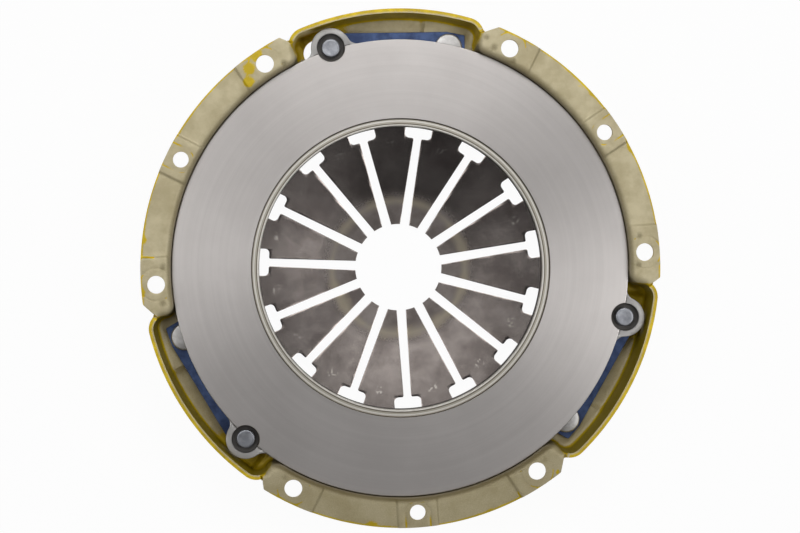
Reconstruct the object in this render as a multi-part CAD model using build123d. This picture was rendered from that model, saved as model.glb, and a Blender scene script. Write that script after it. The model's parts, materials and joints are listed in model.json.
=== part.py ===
from build123d import *
import os
from math import asin, atan2, cos, degrees, hypot, radians, sin, sqrt, tan

# Clutch cover assembly of a push-type clutch, in millimetres.
# The origin is the centre of the bolt circle on the face that meets the flywheel.
# +Z points to the flywheel, so the friction face looks up and the bowl hangs below.

# Flange and bolt circle
bolt_circle_radius = 123.5
bolt_hole_radius = 4.5
dowel_hole_radius = 4.0
bolt_edge_margin = 7.5
flange_lead_end = 34.2
flange_lead_notch = 36.8
flange_lead_depth = 5.3
flange_trail_end = 35.8
flange_trail_notch = 37.5
flange_trail_depth = 4.6
flange_relief_depth = 1.0
dowel_pad_half = 10.6
bolt_pad_half = 14.2
flange_bend_radius = 3.0
bolt_coin_radius = 8.7
dowel_coin_radius = 6.7
coin_depth = 0.25
coin_width = 1.0

# Pressed bowl
cover_sheet = 3.0
bowl_gap = 0.8
shelf_bend_radius = 3.0
drum_bend_radius = 0.6
back_bend_radius = 4.0
rim_gap = 1.5
opening_margin = 6.0

# Strap pockets
pocket_wall = 2.2
lug_wall_gap = 1.7
pocket_half_angle = 23.5
pocket_corner_radius = 9.0
pocket_rim_drop = 1.2
pocket_draft = 3.0
pocket_floor_bend = 2.0
mouth_chamfer = 1.6
recess_depth = 2.6
recess_start = 13.4
recess_outer_offset = 12.5
recess_margin = 1.6
recess_corner_radius = 4.0

# Pressure plate
plate_bolt_margin = 7.8
friction_inner_radius = 75.7
bore_land = 3.8
friction_face_z = -6.3
friction_edge_chamfer = 0.5
bore_step_depth = 1.1
bore_groove_width = 0.9
bore_chamfer = 0.5
back_chamfer = 1.0
plate_rim_thickness = 7.0
plate_body_thickness = 12.2
ridge_width = 4.4
ridge_height = 5.5
ridge_ledge = 0.2
ridge_gap_angle = 3.0

# Lugs
lug_overhang = 1.2
lug_angle = 13.9
lug_boss_radius = 10.0
lug_fillet = 5.0
lug_face_drop = 0.8
lug_thickness = 9.0
lug_back_step = 0.6
counterbore_radius = 7.0
counterbore_depth = 4.5

# Drive straps
leaf_count = 3
leaf_thickness = 0.8
leaf_gap = 0.02
leaf_width = 16.0
leaf_end_margin = 8.5
leaf_corner_run = 9.2
leaf_corner_drop = 1.9
leaf_flat = 10.5
strap_preset = 1.4
strap_side_gap = 0.63
cover_rivet_setback = 1.7
cover_rivet_angle = -16.1

# Strap rivets and the holes that give access to them
rivet_clearance = 0.05
strap_rivet_shank = 3.0
rivet_head_edge = 0.6
cover_rivet_head_radius = 6.9
cover_rivet_head_height = 1.8
cover_rivet_tail_radius = 5.5
cover_rivet_relief = 1.4
lug_rivet_head_radius = 5.8
lug_rivet_head_height = 2.0
lug_rivet_tail_radius = 4.7
lug_rivet_tail_height = 3.0
lug_rivet_tail_edge = 0.5
access_hole_gap = 2.2
drain_hole_radius = 7.0
drain_hole_turn = 3.4
drain_hole_offset = 0.5

# Diaphragm spring and its fulcrum
finger_count = 15
diaphragm_thickness = 2.7
diaphragm_overhang = 2.0
disc_cone_angle = 12.5
finger_cone_angle = 10.0
finger_knee_radius = 38.0
finger_tip_radius = 22.45
slot_inner_width = 4.9
slot_outer_width = 3.9
slot_mouth_radius = 0.8
window_inner_reach = 13.3
window_outer_reach = 4.4
window_width = 14.0
window_corner_radius = 2.3
diaphragm_edge_radius = 0.5
finger_tip_edge = 0.3
finger_knee_bend = 30.0
fulcrum_lever = 15.0
fulcrum_wire = 3.5
fulcrum_split = 2.0
running_gap = 0.08
seat_gap = 0.02

# Fulcrum rivets
ring_rivet_gap = 0.2
fulcrum_rivet_shank = 3.0
fulcrum_rivet_collar = 3.55
fulcrum_rivet_head = 6.0
fulcrum_rivet_head_height = 2.0
fulcrum_rivet_head_edge = 0.7
fulcrum_rivet_tail = 5.0
fulcrum_rivet_tail_height = 2.8
fulcrum_rivet_tail_edge = 1.0

# Places that repeat round the axis
sector = 120.0
pocket_angles = [90.0 + sector * step for step in range(3)]
dowel_angles = [angle - sector / 2 for angle in pocket_angles]
bolt_turns = (-30.0, 30.0)
finger_pitch = 360.0 / finger_count
slot_angles = [dowel_angles[0] + finger_pitch * step for step in range(finger_count)]

# How far a cutter stands past the face it opens, and how near two points count as one
cut_margin = 1.0
same_place = 0.01

# Radii, from the bolt circle inwards
flange_outer_radius = bolt_circle_radius + bolt_edge_margin
plate_outer_radius = bolt_circle_radius - plate_bolt_margin
bowl_radius = plate_outer_radius + bowl_gap
lug_radius = plate_outer_radius + lug_overhang
pocket_outer_radius = lug_radius + lug_boss_radius + lug_wall_gap + pocket_wall
cover_rivet_place = lug_radius - cover_rivet_setback
strap_turn = radians(lug_angle - cover_rivet_angle)
rivet_product = lug_radius * cover_rivet_place
strap_reach = sqrt(lug_radius**2 + cover_rivet_place**2 - 2 * rivet_product * cos(strap_turn))
strap_line_radius = rivet_product * sin(strap_turn) / strap_reach
plate_body_outer_radius = strap_line_radius - leaf_width / 2 - strap_side_gap
ridge_radius = plate_body_outer_radius - ridge_ledge - ridge_width / 2
diaphragm_outer_radius = ridge_radius + diaphragm_overhang
drum_radius = diaphragm_outer_radius + rim_gap
fulcrum_radius = ridge_radius - fulcrum_lever
fulcrum_rivet_place = fulcrum_radius - fulcrum_wire / 2 - ring_rivet_gap - fulcrum_rivet_collar
window_outer_radius = fulcrum_rivet_place + window_outer_reach
window_inner_radius = fulcrum_rivet_place - window_inner_reach
cover_opening_radius = fulcrum_rivet_place - opening_margin
plate_inner_radius = friction_inner_radius - bore_land

# Heights, from the friction face down to the back of the cover
plate_rim_back_z = friction_face_z - plate_rim_thickness
plate_body_back_z = friction_face_z - plate_body_thickness
ridge_tip_z = plate_body_back_z - ridge_height
disc_slope = tan(radians(disc_cone_angle))
finger_slope = tan(radians(finger_cone_angle))
disc_height = diaphragm_thickness / cos(radians(disc_cone_angle))
finger_height = diaphragm_thickness / cos(radians(finger_cone_angle))
ridge_lean = ridge_width / 2 * (1 / cos(radians(disc_cone_angle)) - 1)
wire_height = fulcrum_wire / 2 / cos(radians(disc_cone_angle))
pivot_top_z = ridge_tip_z - ridge_lean - running_gap - (ridge_radius - fulcrum_radius) * disc_slope
front_ring_z = pivot_top_z + running_gap + wire_height
rear_ring_z = pivot_top_z - disc_height - running_gap - wire_height
back_inner_z = rear_ring_z - fulcrum_wire / 2
back_outer_z = back_inner_z - cover_sheet
lug_face_z = friction_face_z - lug_face_drop
lug_back_z = lug_face_z - lug_thickness
pack_thickness = leaf_count * leaf_thickness + (leaf_count - 1) * leaf_gap
pad_z = lug_back_z - pack_thickness - strap_preset
recess_z = pad_z - recess_depth


def place(radius, angle, z=0.0):
    """Point at a radius and an angle round the axis."""
    return Vector(radius * cos(radians(angle)), radius * sin(radians(angle)), z)


def lifted(sketch, z):
    """The sketch moved to a height."""
    return Pos(0, 0, z) * sketch


def turned(shape, angle):
    """The shape turned round the axis."""
    return Rot(0, 0, angle) * shape


def disc(radius, z, height, centre=Vector(0, 0, 0)):
    """Upright cylinder that starts at a height."""
    upright = Cylinder(radius, height, align=(Align.CENTER, Align.CENTER, Align.MIN))
    return Pos(centre.X, centre.Y, z) * upright


def sector_face(inner, outer, start, end):
    """Plan of a ring sector."""
    middle = (start + end) / 2
    outer_arc = ThreePointArc(place(outer, start), place(outer, middle), place(outer, end))
    inner_arc = ThreePointArc(place(inner, end), place(inner, middle), place(inner, start))
    end_line = Line(place(outer, end), place(inner, end))
    start_line = Line(place(inner, start), place(outer, start))
    return make_face([outer_arc, end_line, inner_arc, start_line])


def spun(points, radii):
    """Solid of revolution of a closed outline of (radius, height) points, with its corner radii."""
    outline = FilletPolyline(*points, radius=radii, close=True)
    return revolve(Plane.XZ * make_face(outline.edges()), Axis.Z)


def bowl_body(wall):
    """Solid out to the bowl's inner face, moved outwards by a wall."""
    upper = bowl_radius + wall
    lower = drum_radius + wall
    points = [(0, cut_margin), (upper, cut_margin), (upper, pad_z - wall), (lower, pad_z - wall)]
    points += [(lower, back_inner_z - wall), (0, back_inner_z - wall)]
    radii = [0, 0, shelf_bend_radius + wall, drum_bend_radius + cover_sheet - wall]
    radii += [back_bend_radius + wall, 0]
    return spun(points, radii)


def flange_flare():
    """Rounded entry of the bowl at the flange."""
    flare = bowl_radius + flange_bend_radius
    inner = bowl_radius - cut_margin
    section = make_face([
        Line((inner, 0), (flare, 0)),
        RadiusArc((flare, 0), (bowl_radius, -flange_bend_radius), -flange_bend_radius),
        Line((bowl_radius, -flange_bend_radius), (inner, -flange_bend_radius)),
        Line((inner, -flange_bend_radius), (inner, 0)),
    ])
    return revolve(Plane.XZ * section, Axis.Z)


def flange_plan():
    """Plan of one flange segment about the +X axis; its slanted ends differ a little."""
    outer = flange_outer_radius
    inner = bowl_radius - cut_margin
    lead = place(outer, flange_lead_end)
    lead_notch = place(outer - flange_lead_depth, flange_lead_notch)
    lead_root = place(inner, flange_lead_notch)
    trail = place(outer, -flange_trail_end)
    trail_notch = place(outer - flange_trail_depth, -flange_trail_notch)
    trail_root = place(inner, -flange_trail_notch)
    return make_face([
        ThreePointArc(trail, place(outer, 0), lead),
        Line(lead, lead_notch),
        Line(lead_notch, lead_root),
        ThreePointArc(lead_root, place(inner, 0), trail_root),
        Line(trail_root, trail_notch),
        Line(trail_notch, trail),
    ])


def flange_spans():
    """Plans of the two lower spans between the pad along +X and the bolt pads beside it."""
    inner = bowl_radius - 5 * cut_margin
    outer = flange_outer_radius + 4 * cut_margin
    spans = []
    for turn in bolt_turns:
        span = sector_face(inner, outer, min(turn, 0), max(turn, 0))
        span -= Pos(bolt_circle_radius, 0) * Rectangle(bolt_circle_radius, 2 * dowel_pad_half)
        bolt_pad = Pos(bolt_circle_radius, 0) * Rectangle(bolt_circle_radius, 2 * bolt_pad_half)
        spans.append(span - turned(bolt_pad, turn))
    return spans


def flange_pads(spans):
    """Plan of the pads of one flange segment: all of it but its spans."""
    inner = bowl_radius - 5 * cut_margin
    outer = flange_outer_radius + 4 * cut_margin
    end = max(flange_lead_notch, flange_trail_notch) + 3 * cut_margin
    pads = sector_face(inner, outer, -end, end)
    for span in spans:
        pads -= span
    return pads


def dowel_coin():
    """Shallow U-shaped mark round a dowel hole, open to the outer edge, about the +X axis."""
    run = bolt_edge_margin + 2 * cut_margin
    outer = Circle(dowel_coin_radius) + Pos(run / 2, 0) * Rectangle(run, 2 * dowel_coin_radius)
    inner_radius = dowel_coin_radius - coin_width
    inner = Circle(inner_radius) + Pos(run / 2, 0) * Rectangle(run + 2 * cut_margin, 2 * inner_radius)
    mark = extrude(lifted(outer - inner, -coin_depth), amount=coin_depth + cut_margin)
    return Pos(bolt_circle_radius, 0, 0) * mark


def bolt_coin(centre):
    """Shallow ring mark round a bolt hole."""
    ring = Circle(bolt_coin_radius) - Circle(bolt_coin_radius - coin_width)
    mark = extrude(lifted(ring, -coin_depth), amount=coin_depth + cut_margin)
    return Pos(centre.X, centre.Y, 0) * mark


def flange_segment():
    """One flange segment about the +X axis: pads at the holes, lower spans between them."""
    deep = cover_sheet + flange_relief_depth
    cut_depth = flange_relief_depth + cut_margin
    blank = extrude(flange_plan(), amount=-deep)
    blank -= disc(bowl_radius + cover_sheet, -deep, flange_relief_depth)
    spans = flange_spans()
    for span in spans:
        blank -= extrude(lifted(span, -flange_relief_depth), amount=cut_depth, taper=-45)
    keep = disc(bowl_radius + cover_sheet, -deep - cut_depth, deep + cut_depth)
    for pad in flange_pads(spans).faces():
        under = extrude(lifted(pad, -cover_sheet), amount=cut_depth, dir=(0, 0, -1), taper=-45)
        blank -= under - keep
    blank -= dowel_coin()
    for turn in bolt_turns:
        blank -= bolt_coin(place(bolt_circle_radius, turn))
    return blank


def pocket_plan(wall):
    """Plan of one pocket about the +X axis, moved inwards by a wall."""
    outer = pocket_outer_radius - wall
    half = pocket_half_angle - degrees(wall / bolt_circle_radius)
    inner = drum_radius - 4 * cut_margin
    face = make_face([
        Line(place(inner, -half), place(outer, -half)),
        ThreePointArc(place(outer, -half), place(outer, 0), place(outer, half)),
        Line(place(outer, half), place(inner, half)),
        Line(place(inner, half), place(inner, -half)),
    ])
    corners = face.vertices().sort_by(SortBy.DISTANCE)[-2:]
    return fillet(corners, pocket_corner_radius - wall)


def pocket_body(wall):
    """Drafted pocket from its rim to its floor, about the +X axis."""
    floor_z = pad_z - cover_sheet if wall == 0 else pad_z
    bend = pocket_floor_bend + (cover_sheet if wall == 0 else 0)
    depth = -pocket_rim_drop - floor_z
    rim = lifted(pocket_plan(wall), -pocket_rim_drop)
    body = extrude(rim, amount=depth, dir=(0, 0, -1), taper=pocket_draft)
    floor_edges = body.faces().sort_by(Axis.Z)[0].edges()
    outer_edges = floor_edges.filter_by(lambda edge: hypot(edge.center().X, edge.center().Y) > bowl_radius)
    return fillet(outer_edges, bend)


def pocket_mouth():
    """Opens a pocket to the top; it widens at the ends, where the flange rolls into the pocket."""
    mouth = extrude(lifted(pocket_plan(pocket_wall), -pocket_rim_drop), amount=pocket_rim_drop + cut_margin)
    rolled = pocket_plan(pocket_wall) & Circle(flange_outer_radius - flange_lead_depth - mouth_chamfer)
    flared = extrude(lifted(rolled, -mouth_chamfer), amount=mouth_chamfer + cut_margin, taper=-45)
    return mouth + flared


def recess_plan(grow):
    """Plan of the deeper part of a pocket floor, under the moving end of the strap, grown by a wall."""
    lean = (-pocket_rim_drop - pad_z) * tan(radians(pocket_draft))
    bound = pocket_plan(pocket_wall + lean + recess_margin - grow)
    start, heading, length = strap_frame(0)
    inward = plate_body_outer_radius / 5
    run = length + 2 * inward
    depth = recess_outer_offset + inward
    block = RectangleRounded(run + 2 * grow, depth + 2 * grow, recess_corner_radius + grow)
    block = Pos(recess_start + run / 2, inward - depth / 2) * block
    return bound & (Pos(start.X, start.Y) * Rot(0, 0, heading) * block)


def sheet_hole(radius, inner_z, centre):
    """Cutter of a round hole through the sheet whose inner face is at a height."""
    return disc(radius, inner_z - cover_sheet - cut_margin, cover_sheet + 2 * cut_margin, centre)


def cover_holes():
    """Cutters of the round holes in the flange, the back and the pocket floors."""
    holes = [sheet_hole(cover_opening_radius, back_inner_z, Vector(0, 0, 0))]
    for dowel in dowel_angles:
        holes.append(sheet_hole(dowel_hole_radius, 0, place(bolt_circle_radius, dowel)))
        for turn in bolt_turns:
            holes.append(sheet_hole(bolt_hole_radius, 0, place(bolt_circle_radius, dowel + turn)))
    shank = fulcrum_rivet_shank + rivet_clearance
    holes += [sheet_hole(shank, back_inner_z, place(fulcrum_rivet_place, angle)) for angle in slot_angles]
    for pocket in pocket_angles:
        rivet = place(cover_rivet_place, pocket + cover_rivet_angle)
        holes.append(sheet_hole(strap_rivet_shank + rivet_clearance, pad_z, rivet))
        access = place(lug_radius, pocket + lug_angle)
        holes.append(sheet_hole(lug_rivet_head_radius + access_hole_gap, recess_z, access))
    drain = place(lug_radius + drain_hole_offset, pocket_angles[0] + lug_angle + drain_hole_turn)
    holes.append(sheet_hole(drain_hole_radius, recess_z, drain))
    return holes


def cover_solid():
    """The pressed cover: bowl, three flange segments and three strap pockets."""
    outside = bowl_body(cover_sheet) - disc(bowl_radius + 2 * cover_sheet, -cover_sheet, 2 * cover_sheet)
    void = bowl_body(0) + flange_flare()
    pocket_shell = pocket_body(0)
    pocket_void = pocket_body(pocket_wall) + pocket_mouth()
    top = pad_z - cut_margin
    recess_shell = extrude(lifted(recess_plan(cover_sheet), top), amount=recess_z - cover_sheet - top)
    recess_void = extrude(lifted(recess_plan(0), recess_z), amount=recess_depth + 2 * cut_margin)
    segment = flange_segment()
    for dowel in dowel_angles:
        outside += turned(segment, dowel)
    for pocket in pocket_angles:
        outside += turned(pocket_shell, pocket)
        outside += turned(recess_shell, pocket)
        void += turned(pocket_void, pocket)
        void += turned(recess_void, pocket)
    body = outside - void
    for hole in cover_holes():
        body -= hole
    return body


def ridge_ring():
    """Raised ring on the back of the plate that bears on the diaphragm, with a gap at each slot."""
    base = plate_body_back_z + cut_margin
    half = ridge_width / 2
    shoulder = ridge_tip_z + half
    inner = ridge_radius - half
    outer = ridge_radius + half
    section = make_face([
        Line((inner, base), (outer, base)),
        Line((outer, base), (outer, shoulder)),
        ThreePointArc((outer, shoulder), (ridge_radius, ridge_tip_z), (inner, shoulder)),
        Line((inner, shoulder), (inner, base)),
    ])
    ring = revolve(Plane.XZ * section, Axis.Z)
    gap = sector_face(inner - half, outer + half, -ridge_gap_angle / 2, ridge_gap_angle / 2)
    cutter = extrude(lifted(gap, ridge_tip_z - cut_margin), amount=ridge_height + cut_margin)
    for angle in slot_angles:
        ring -= turned(cutter, angle)
    return ring


def plate_plan():
    """Outline of the plate's rim with its three lugs, blended by small fillets."""
    outline = Circle(plate_outer_radius)
    for pocket in pocket_angles:
        centre = place(lug_radius, pocket + lug_angle)
        outline += Pos(centre.X, centre.Y) * Circle(lug_boss_radius)
    corners = outline.vertices().filter_by(
        lambda vertex: abs(hypot(vertex.X, vertex.Y) - plate_outer_radius) < same_place
    )
    return fillet(corners, lug_fillet)


def lug_back(angle):
    """Thicker back of one lug, which the strap pack seats on."""
    inner = plate_body_outer_radius - 2 * cut_margin
    boss = lug_boss_radius - lug_back_step
    run = lug_radius - inner
    plan = Pos(lug_radius, 0) * Circle(boss) + Pos(inner + run / 2, 0) * Rectangle(run, 2 * boss)
    top = plate_rim_back_z + cut_margin
    return turned(extrude(lifted(plan, top), amount=lug_back_z - top), angle)


def plate_solid():
    """The cast pressure plate: friction ring, lugs with counterbores, fulcrum ridge."""
    rim = plate_outer_radius
    face = friction_face_z
    edge = friction_edge_chamfer
    body_edge = plate_body_outer_radius
    step = face - bore_step_depth
    land = friction_inner_radius - bore_groove_width
    outline = [(friction_inner_radius, face), (rim - edge, face), (rim, face - edge), (rim, lug_face_z)]
    outline += [(body_edge, lug_face_z), (body_edge, plate_body_back_z)]
    bore = plate_inner_radius
    outline += [(bore + back_chamfer, plate_body_back_z), (bore, plate_body_back_z + back_chamfer)]
    outline += [(bore, step - bore_chamfer), (bore + bore_chamfer, step), (land, step)]
    body = spun(outline, [0] * len(outline))
    slab = plate_plan() - Circle(body_edge - 4 * cut_margin)
    body += extrude(lifted(slab, lug_face_z), amount=plate_rim_back_z - lug_face_z)
    for pocket in pocket_angles:
        body += lug_back(pocket + lug_angle)
    body += ridge_ring()
    for pocket in pocket_angles:
        centre = place(lug_radius, pocket + lug_angle)
        seat = lug_face_z - counterbore_depth
        body -= disc(counterbore_radius, seat, counterbore_depth + cut_margin, centre)
        body -= disc(strap_rivet_shank + rivet_clearance, lug_back_z - cut_margin, lug_thickness, centre)
        head = place(cover_rivet_place, pocket + cover_rivet_angle)
        head_radius = cover_rivet_head_radius + cover_rivet_relief
        relief_top = plate_rim_back_z + cut_margin
        body -= disc(head_radius, plate_body_back_z, relief_top - plate_body_back_z, head)
    return body


def strap_frame(pocket):
    """Rivet points of one strap, its direction and its length between rivets."""
    start = place(cover_rivet_place, pocket + cover_rivet_angle)
    end = place(lug_radius, pocket + lug_angle)
    along = end - start
    return start, degrees(atan2(along.Y, along.X)), along.length


def leaf_corner(end, way):
    """Plan of what a leaf loses at its outer corner, so that it clears the pocket's corner."""
    side = -leaf_width / 2
    return make_face(Polyline(
        (end - way * cut_margin, side - cut_margin),
        (end + way * leaf_corner_run, side - cut_margin),
        (end + way * leaf_corner_run, side),
        (end, side + leaf_corner_drop),
        (end - way * cut_margin, side + leaf_corner_drop),
        close=True,
    ))


def leaf_solid(pocket, level):
    """One strap leaf: flat at both rivets, with an easy rise to the lug between them."""
    start, heading, length = strap_frame(pocket)
    low = pad_z + level * (leaf_thickness + leaf_gap)
    high = low + strap_preset
    first = -leaf_end_margin
    last = length + leaf_end_margin

    def edge_line(lift):
        near = low + lift
        far = high + lift
        flat_a = Line((first, near), (leaf_flat, near))
        rise = Spline((leaf_flat, near), (length - leaf_flat, far), tangents=((1, 0), (1, 0)))
        flat_b = Line((length - leaf_flat, far), (last, far))
        return [flat_a, rise, flat_b]

    near_end = Line((first, low), (first, low + leaf_thickness))
    far_end = Line((last, high), (last, high + leaf_thickness))
    section = make_face(edge_line(0) + edge_line(leaf_thickness) + [near_end, far_end])
    leaf = extrude(Plane.XZ * section, amount=leaf_width / 2, both=True)
    cut_low = pad_z - cut_margin
    cut_height = strap_preset + pack_thickness + 2 * cut_margin
    for end, way in ((first, 1), (last, -1)):
        leaf -= extrude(lifted(leaf_corner(end, way), cut_low), amount=cut_height)
    shank = strap_rivet_shank + rivet_clearance
    for at in (0, length):
        leaf -= disc(shank, cut_low, cut_height, Vector(at, 0, 0))
    return Pos(start.X, start.Y, 0) * Rot(0, 0, heading) * leaf


def turned_rivet(sections):
    """Rivet of stacked (radius, low, high, edge) stages on one axis."""
    body = None
    for radius, low, high, edge in sections:
        stage = disc(radius, low, high - low)
        if edge > 0:
            stage = chamfer(stage.edges().filter_by(GeomType.CIRCLE).sort_by(Axis.Z)[-1], edge)
        if edge < 0:
            stage = chamfer(stage.edges().filter_by(GeomType.CIRCLE).sort_by(Axis.Z)[0], -edge)
        body = stage if body is None else body + stage
    return body


def cover_rivet(pocket):
    """Rivet that holds a strap pack on its pocket pad."""
    pack_top = pad_z + pack_thickness + seat_gap
    under = pad_z - cover_sheet - seat_gap
    rivet = turned_rivet([
        (strap_rivet_shank, under - cut_margin, pack_top + cut_margin, 0),
        (cover_rivet_head_radius, pack_top, pack_top + cover_rivet_head_height, rivet_head_edge),
        (cover_rivet_tail_radius, under - cover_rivet_head_height, under, -rivet_head_edge),
    ])
    centre = place(cover_rivet_place, pocket + cover_rivet_angle)
    return Pos(centre.X, centre.Y, 0) * rivet


def lug_rivet(pocket):
    """Rivet that holds a strap pack on a lug; its tail lies in the counterbore."""
    seat = lug_face_z - counterbore_depth + seat_gap
    under = lug_back_z - pack_thickness - seat_gap
    rivet = turned_rivet([
        (strap_rivet_shank, under - cut_margin, seat + cut_margin, 0),
        (lug_rivet_tail_radius, seat, seat + lug_rivet_tail_height, lug_rivet_tail_edge),
        (lug_rivet_head_radius, under - lug_rivet_head_height, under, -rivet_head_edge),
    ])
    centre = place(lug_radius, pocket + lug_angle)
    return Pos(centre.X, centre.Y, 0) * rivet


def diaphragm_blank():
    """Coned disc with a knee near the finger tips, before its slots are cut."""
    radii = [diaphragm_outer_radius, fulcrum_radius, finger_knee_radius, finger_tip_radius]
    outer_top = pivot_top_z + (diaphragm_outer_radius - fulcrum_radius) * disc_slope
    knee_top = pivot_top_z - (fulcrum_radius - finger_knee_radius) * finger_slope
    tops = [outer_top, pivot_top_z, knee_top, knee_top]
    outline = [(radius, top) for radius, top in zip(radii, tops)]
    thick = [disc_height, disc_height, finger_height, diaphragm_thickness]
    outline += [(radius, top - deep) for radius, top, deep in zip(radii[::-1], tops[::-1], thick[::-1])]
    corner = [diaphragm_edge_radius, 0, finger_knee_bend, finger_tip_edge]
    return spun(outline, corner + corner[::-1])


def finger_slot():
    """Cutter of one slot along +X: a tapered slot that ends in a wide window."""
    inner = finger_tip_radius - 5 * cut_margin
    outer = window_inner_radius + cut_margin
    slot = make_face(Polyline(
        (inner, -slot_inner_width / 2),
        (outer, -slot_outer_width / 2),
        (outer, slot_outer_width / 2),
        (inner, slot_inner_width / 2),
        close=True,
    ))
    length = window_outer_radius - window_inner_radius
    window = RectangleRounded(length, window_width, window_corner_radius)
    window = Pos(window_inner_radius + length / 2, 0) * window
    outline = slot + window
    mouth = outline.vertices().filter_by(
        lambda vertex: abs(vertex.X - window_inner_radius) < same_place and abs(vertex.Y) < slot_outer_width
    )
    outline = fillet(mouth, slot_mouth_radius)
    return extrude(lifted(outline, back_outer_z - cut_margin), amount=-back_outer_z)


def diaphragm_solid():
    """The diaphragm spring with its fingers."""
    body = diaphragm_blank()
    cutter = finger_slot()
    for angle in slot_angles:
        body -= turned(cutter, angle)
    return body


def fulcrum_ring(z, split_angle):
    """Wire ring with a narrow split."""
    section = Plane.XZ * Pos(fulcrum_radius, z) * Circle(fulcrum_wire / 2)
    open_angle = degrees(2 * asin(fulcrum_split / 2 / fulcrum_radius))
    return turned(revolve(section, Axis.Z, 360 - open_angle), split_angle)


def fulcrum_rivets():
    """Fifteen shouldered rivets through the windows, which hold both rings to the cover."""
    head_seat = front_ring_z + fulcrum_wire / 2 + seat_gap
    under = back_outer_z - seat_gap
    rivet = turned_rivet([
        (fulcrum_rivet_shank, under - cut_margin, back_inner_z + cut_margin, 0),
        (fulcrum_rivet_collar, back_inner_z + seat_gap, head_seat + cut_margin, 0),
        (fulcrum_rivet_head, head_seat, head_seat + fulcrum_rivet_head_height, fulcrum_rivet_head_edge),
        (fulcrum_rivet_tail, under - fulcrum_rivet_tail_height, under, -fulcrum_rivet_tail_edge),
    ])
    solids = []
    for angle in slot_angles:
        centre = place(fulcrum_rivet_place, angle)
        solids.append(Pos(centre.X, centre.Y, 0) * rivet)
    return Compound(children=solids)


def write(name, shape):
    """Write one named piece."""
    export_step(shape, "parts/" + name + ".step")


def main():
    os.makedirs("parts", exist_ok=True)
    write("cover", cover_solid())
    write("pressure_plate", plate_solid())
    write("diaphragm_spring", diaphragm_solid())
    front_split = slot_angles[0] + finger_pitch / 2
    rear_split = slot_angles[finger_count // 2] + finger_pitch / 2
    write("fulcrum_ring_front", fulcrum_ring(front_ring_z, front_split))
    write("fulcrum_ring_rear", fulcrum_ring(rear_ring_z + seat_gap, rear_split))
    write("fulcrum_rivets", fulcrum_rivets())
    for number, pocket in enumerate(pocket_angles, start=1):
        for level in range(leaf_count):
            write(f"drive_strap_{number}_leaf_{level + 1}", leaf_solid(pocket, level))
        write(f"strap_cover_rivet_{number}", cover_rivet(pocket))
        write(f"strap_lug_rivet_{number}", lug_rivet(pocket))


main()
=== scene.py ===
# %% [markdown]
# # Dressing a clutch pressure plate
#
# This lesson gives looks to a clutch cover assembly that already exists as a frame of solids:
# a pressed steel cover, a cast iron friction ring, drive straps, and a diaphragm spring with
# fifteen fingers. The frame holds every size and every joint. Blender adds the finish, and
# remodels the pieces whose edges and bends show.
#
# Everything is in metres. +Z points to the flywheel, and the bolt circle's centre is the origin.

# %% Load the frame
import json
import math

import bpy
import numpy as np
from mathutils import Matrix, Vector


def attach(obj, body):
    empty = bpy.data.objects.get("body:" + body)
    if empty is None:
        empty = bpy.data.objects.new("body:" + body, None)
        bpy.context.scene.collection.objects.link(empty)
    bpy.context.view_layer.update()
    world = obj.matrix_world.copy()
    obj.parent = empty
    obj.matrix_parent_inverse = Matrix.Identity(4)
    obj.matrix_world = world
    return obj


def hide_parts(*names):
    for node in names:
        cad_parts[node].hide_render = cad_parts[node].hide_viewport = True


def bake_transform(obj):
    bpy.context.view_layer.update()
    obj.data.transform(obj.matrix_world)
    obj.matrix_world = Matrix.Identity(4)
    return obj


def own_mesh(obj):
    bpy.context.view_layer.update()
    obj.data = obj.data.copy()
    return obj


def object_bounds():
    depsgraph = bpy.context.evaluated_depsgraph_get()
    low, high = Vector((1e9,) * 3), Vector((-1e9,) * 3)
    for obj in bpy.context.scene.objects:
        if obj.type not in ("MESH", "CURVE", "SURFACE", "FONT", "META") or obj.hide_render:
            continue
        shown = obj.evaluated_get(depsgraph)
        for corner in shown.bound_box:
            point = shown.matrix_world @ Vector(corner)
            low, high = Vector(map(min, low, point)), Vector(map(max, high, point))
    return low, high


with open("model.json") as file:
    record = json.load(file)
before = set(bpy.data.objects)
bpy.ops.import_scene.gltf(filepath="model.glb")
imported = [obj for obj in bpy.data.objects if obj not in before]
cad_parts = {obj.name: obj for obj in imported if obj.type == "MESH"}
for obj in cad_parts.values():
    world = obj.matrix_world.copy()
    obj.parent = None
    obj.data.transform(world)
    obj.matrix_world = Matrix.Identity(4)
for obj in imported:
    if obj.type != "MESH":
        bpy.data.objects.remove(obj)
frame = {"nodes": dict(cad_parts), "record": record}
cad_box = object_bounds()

MM = 0.001
nodes = frame["nodes"]
print("pieces in the frame:", len(nodes))

# %% [markdown]
# The camera looks at the friction side from about 1.1 m, a little to one side, which is why the
# finger circle in the picture sits slightly off the centre of the bolts. The object is turned a
# few degrees in the picture, so the camera rolls rather than the object.

# %% Camera
PHOTO_ROLL = math.radians(3.78)
MM_PER_PIXEL = 0.5032
CAMERA_HEIGHT = 1.1
CAMERA_ASIDE = Vector((-0.0512, 0.0181, CAMERA_HEIGHT))
CAMERA_AIM = Vector((-0.00087, 0.00094, 0.0))
IMAGE_WIDTH = 800
SENSOR_WIDTH = 36.0


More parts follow.
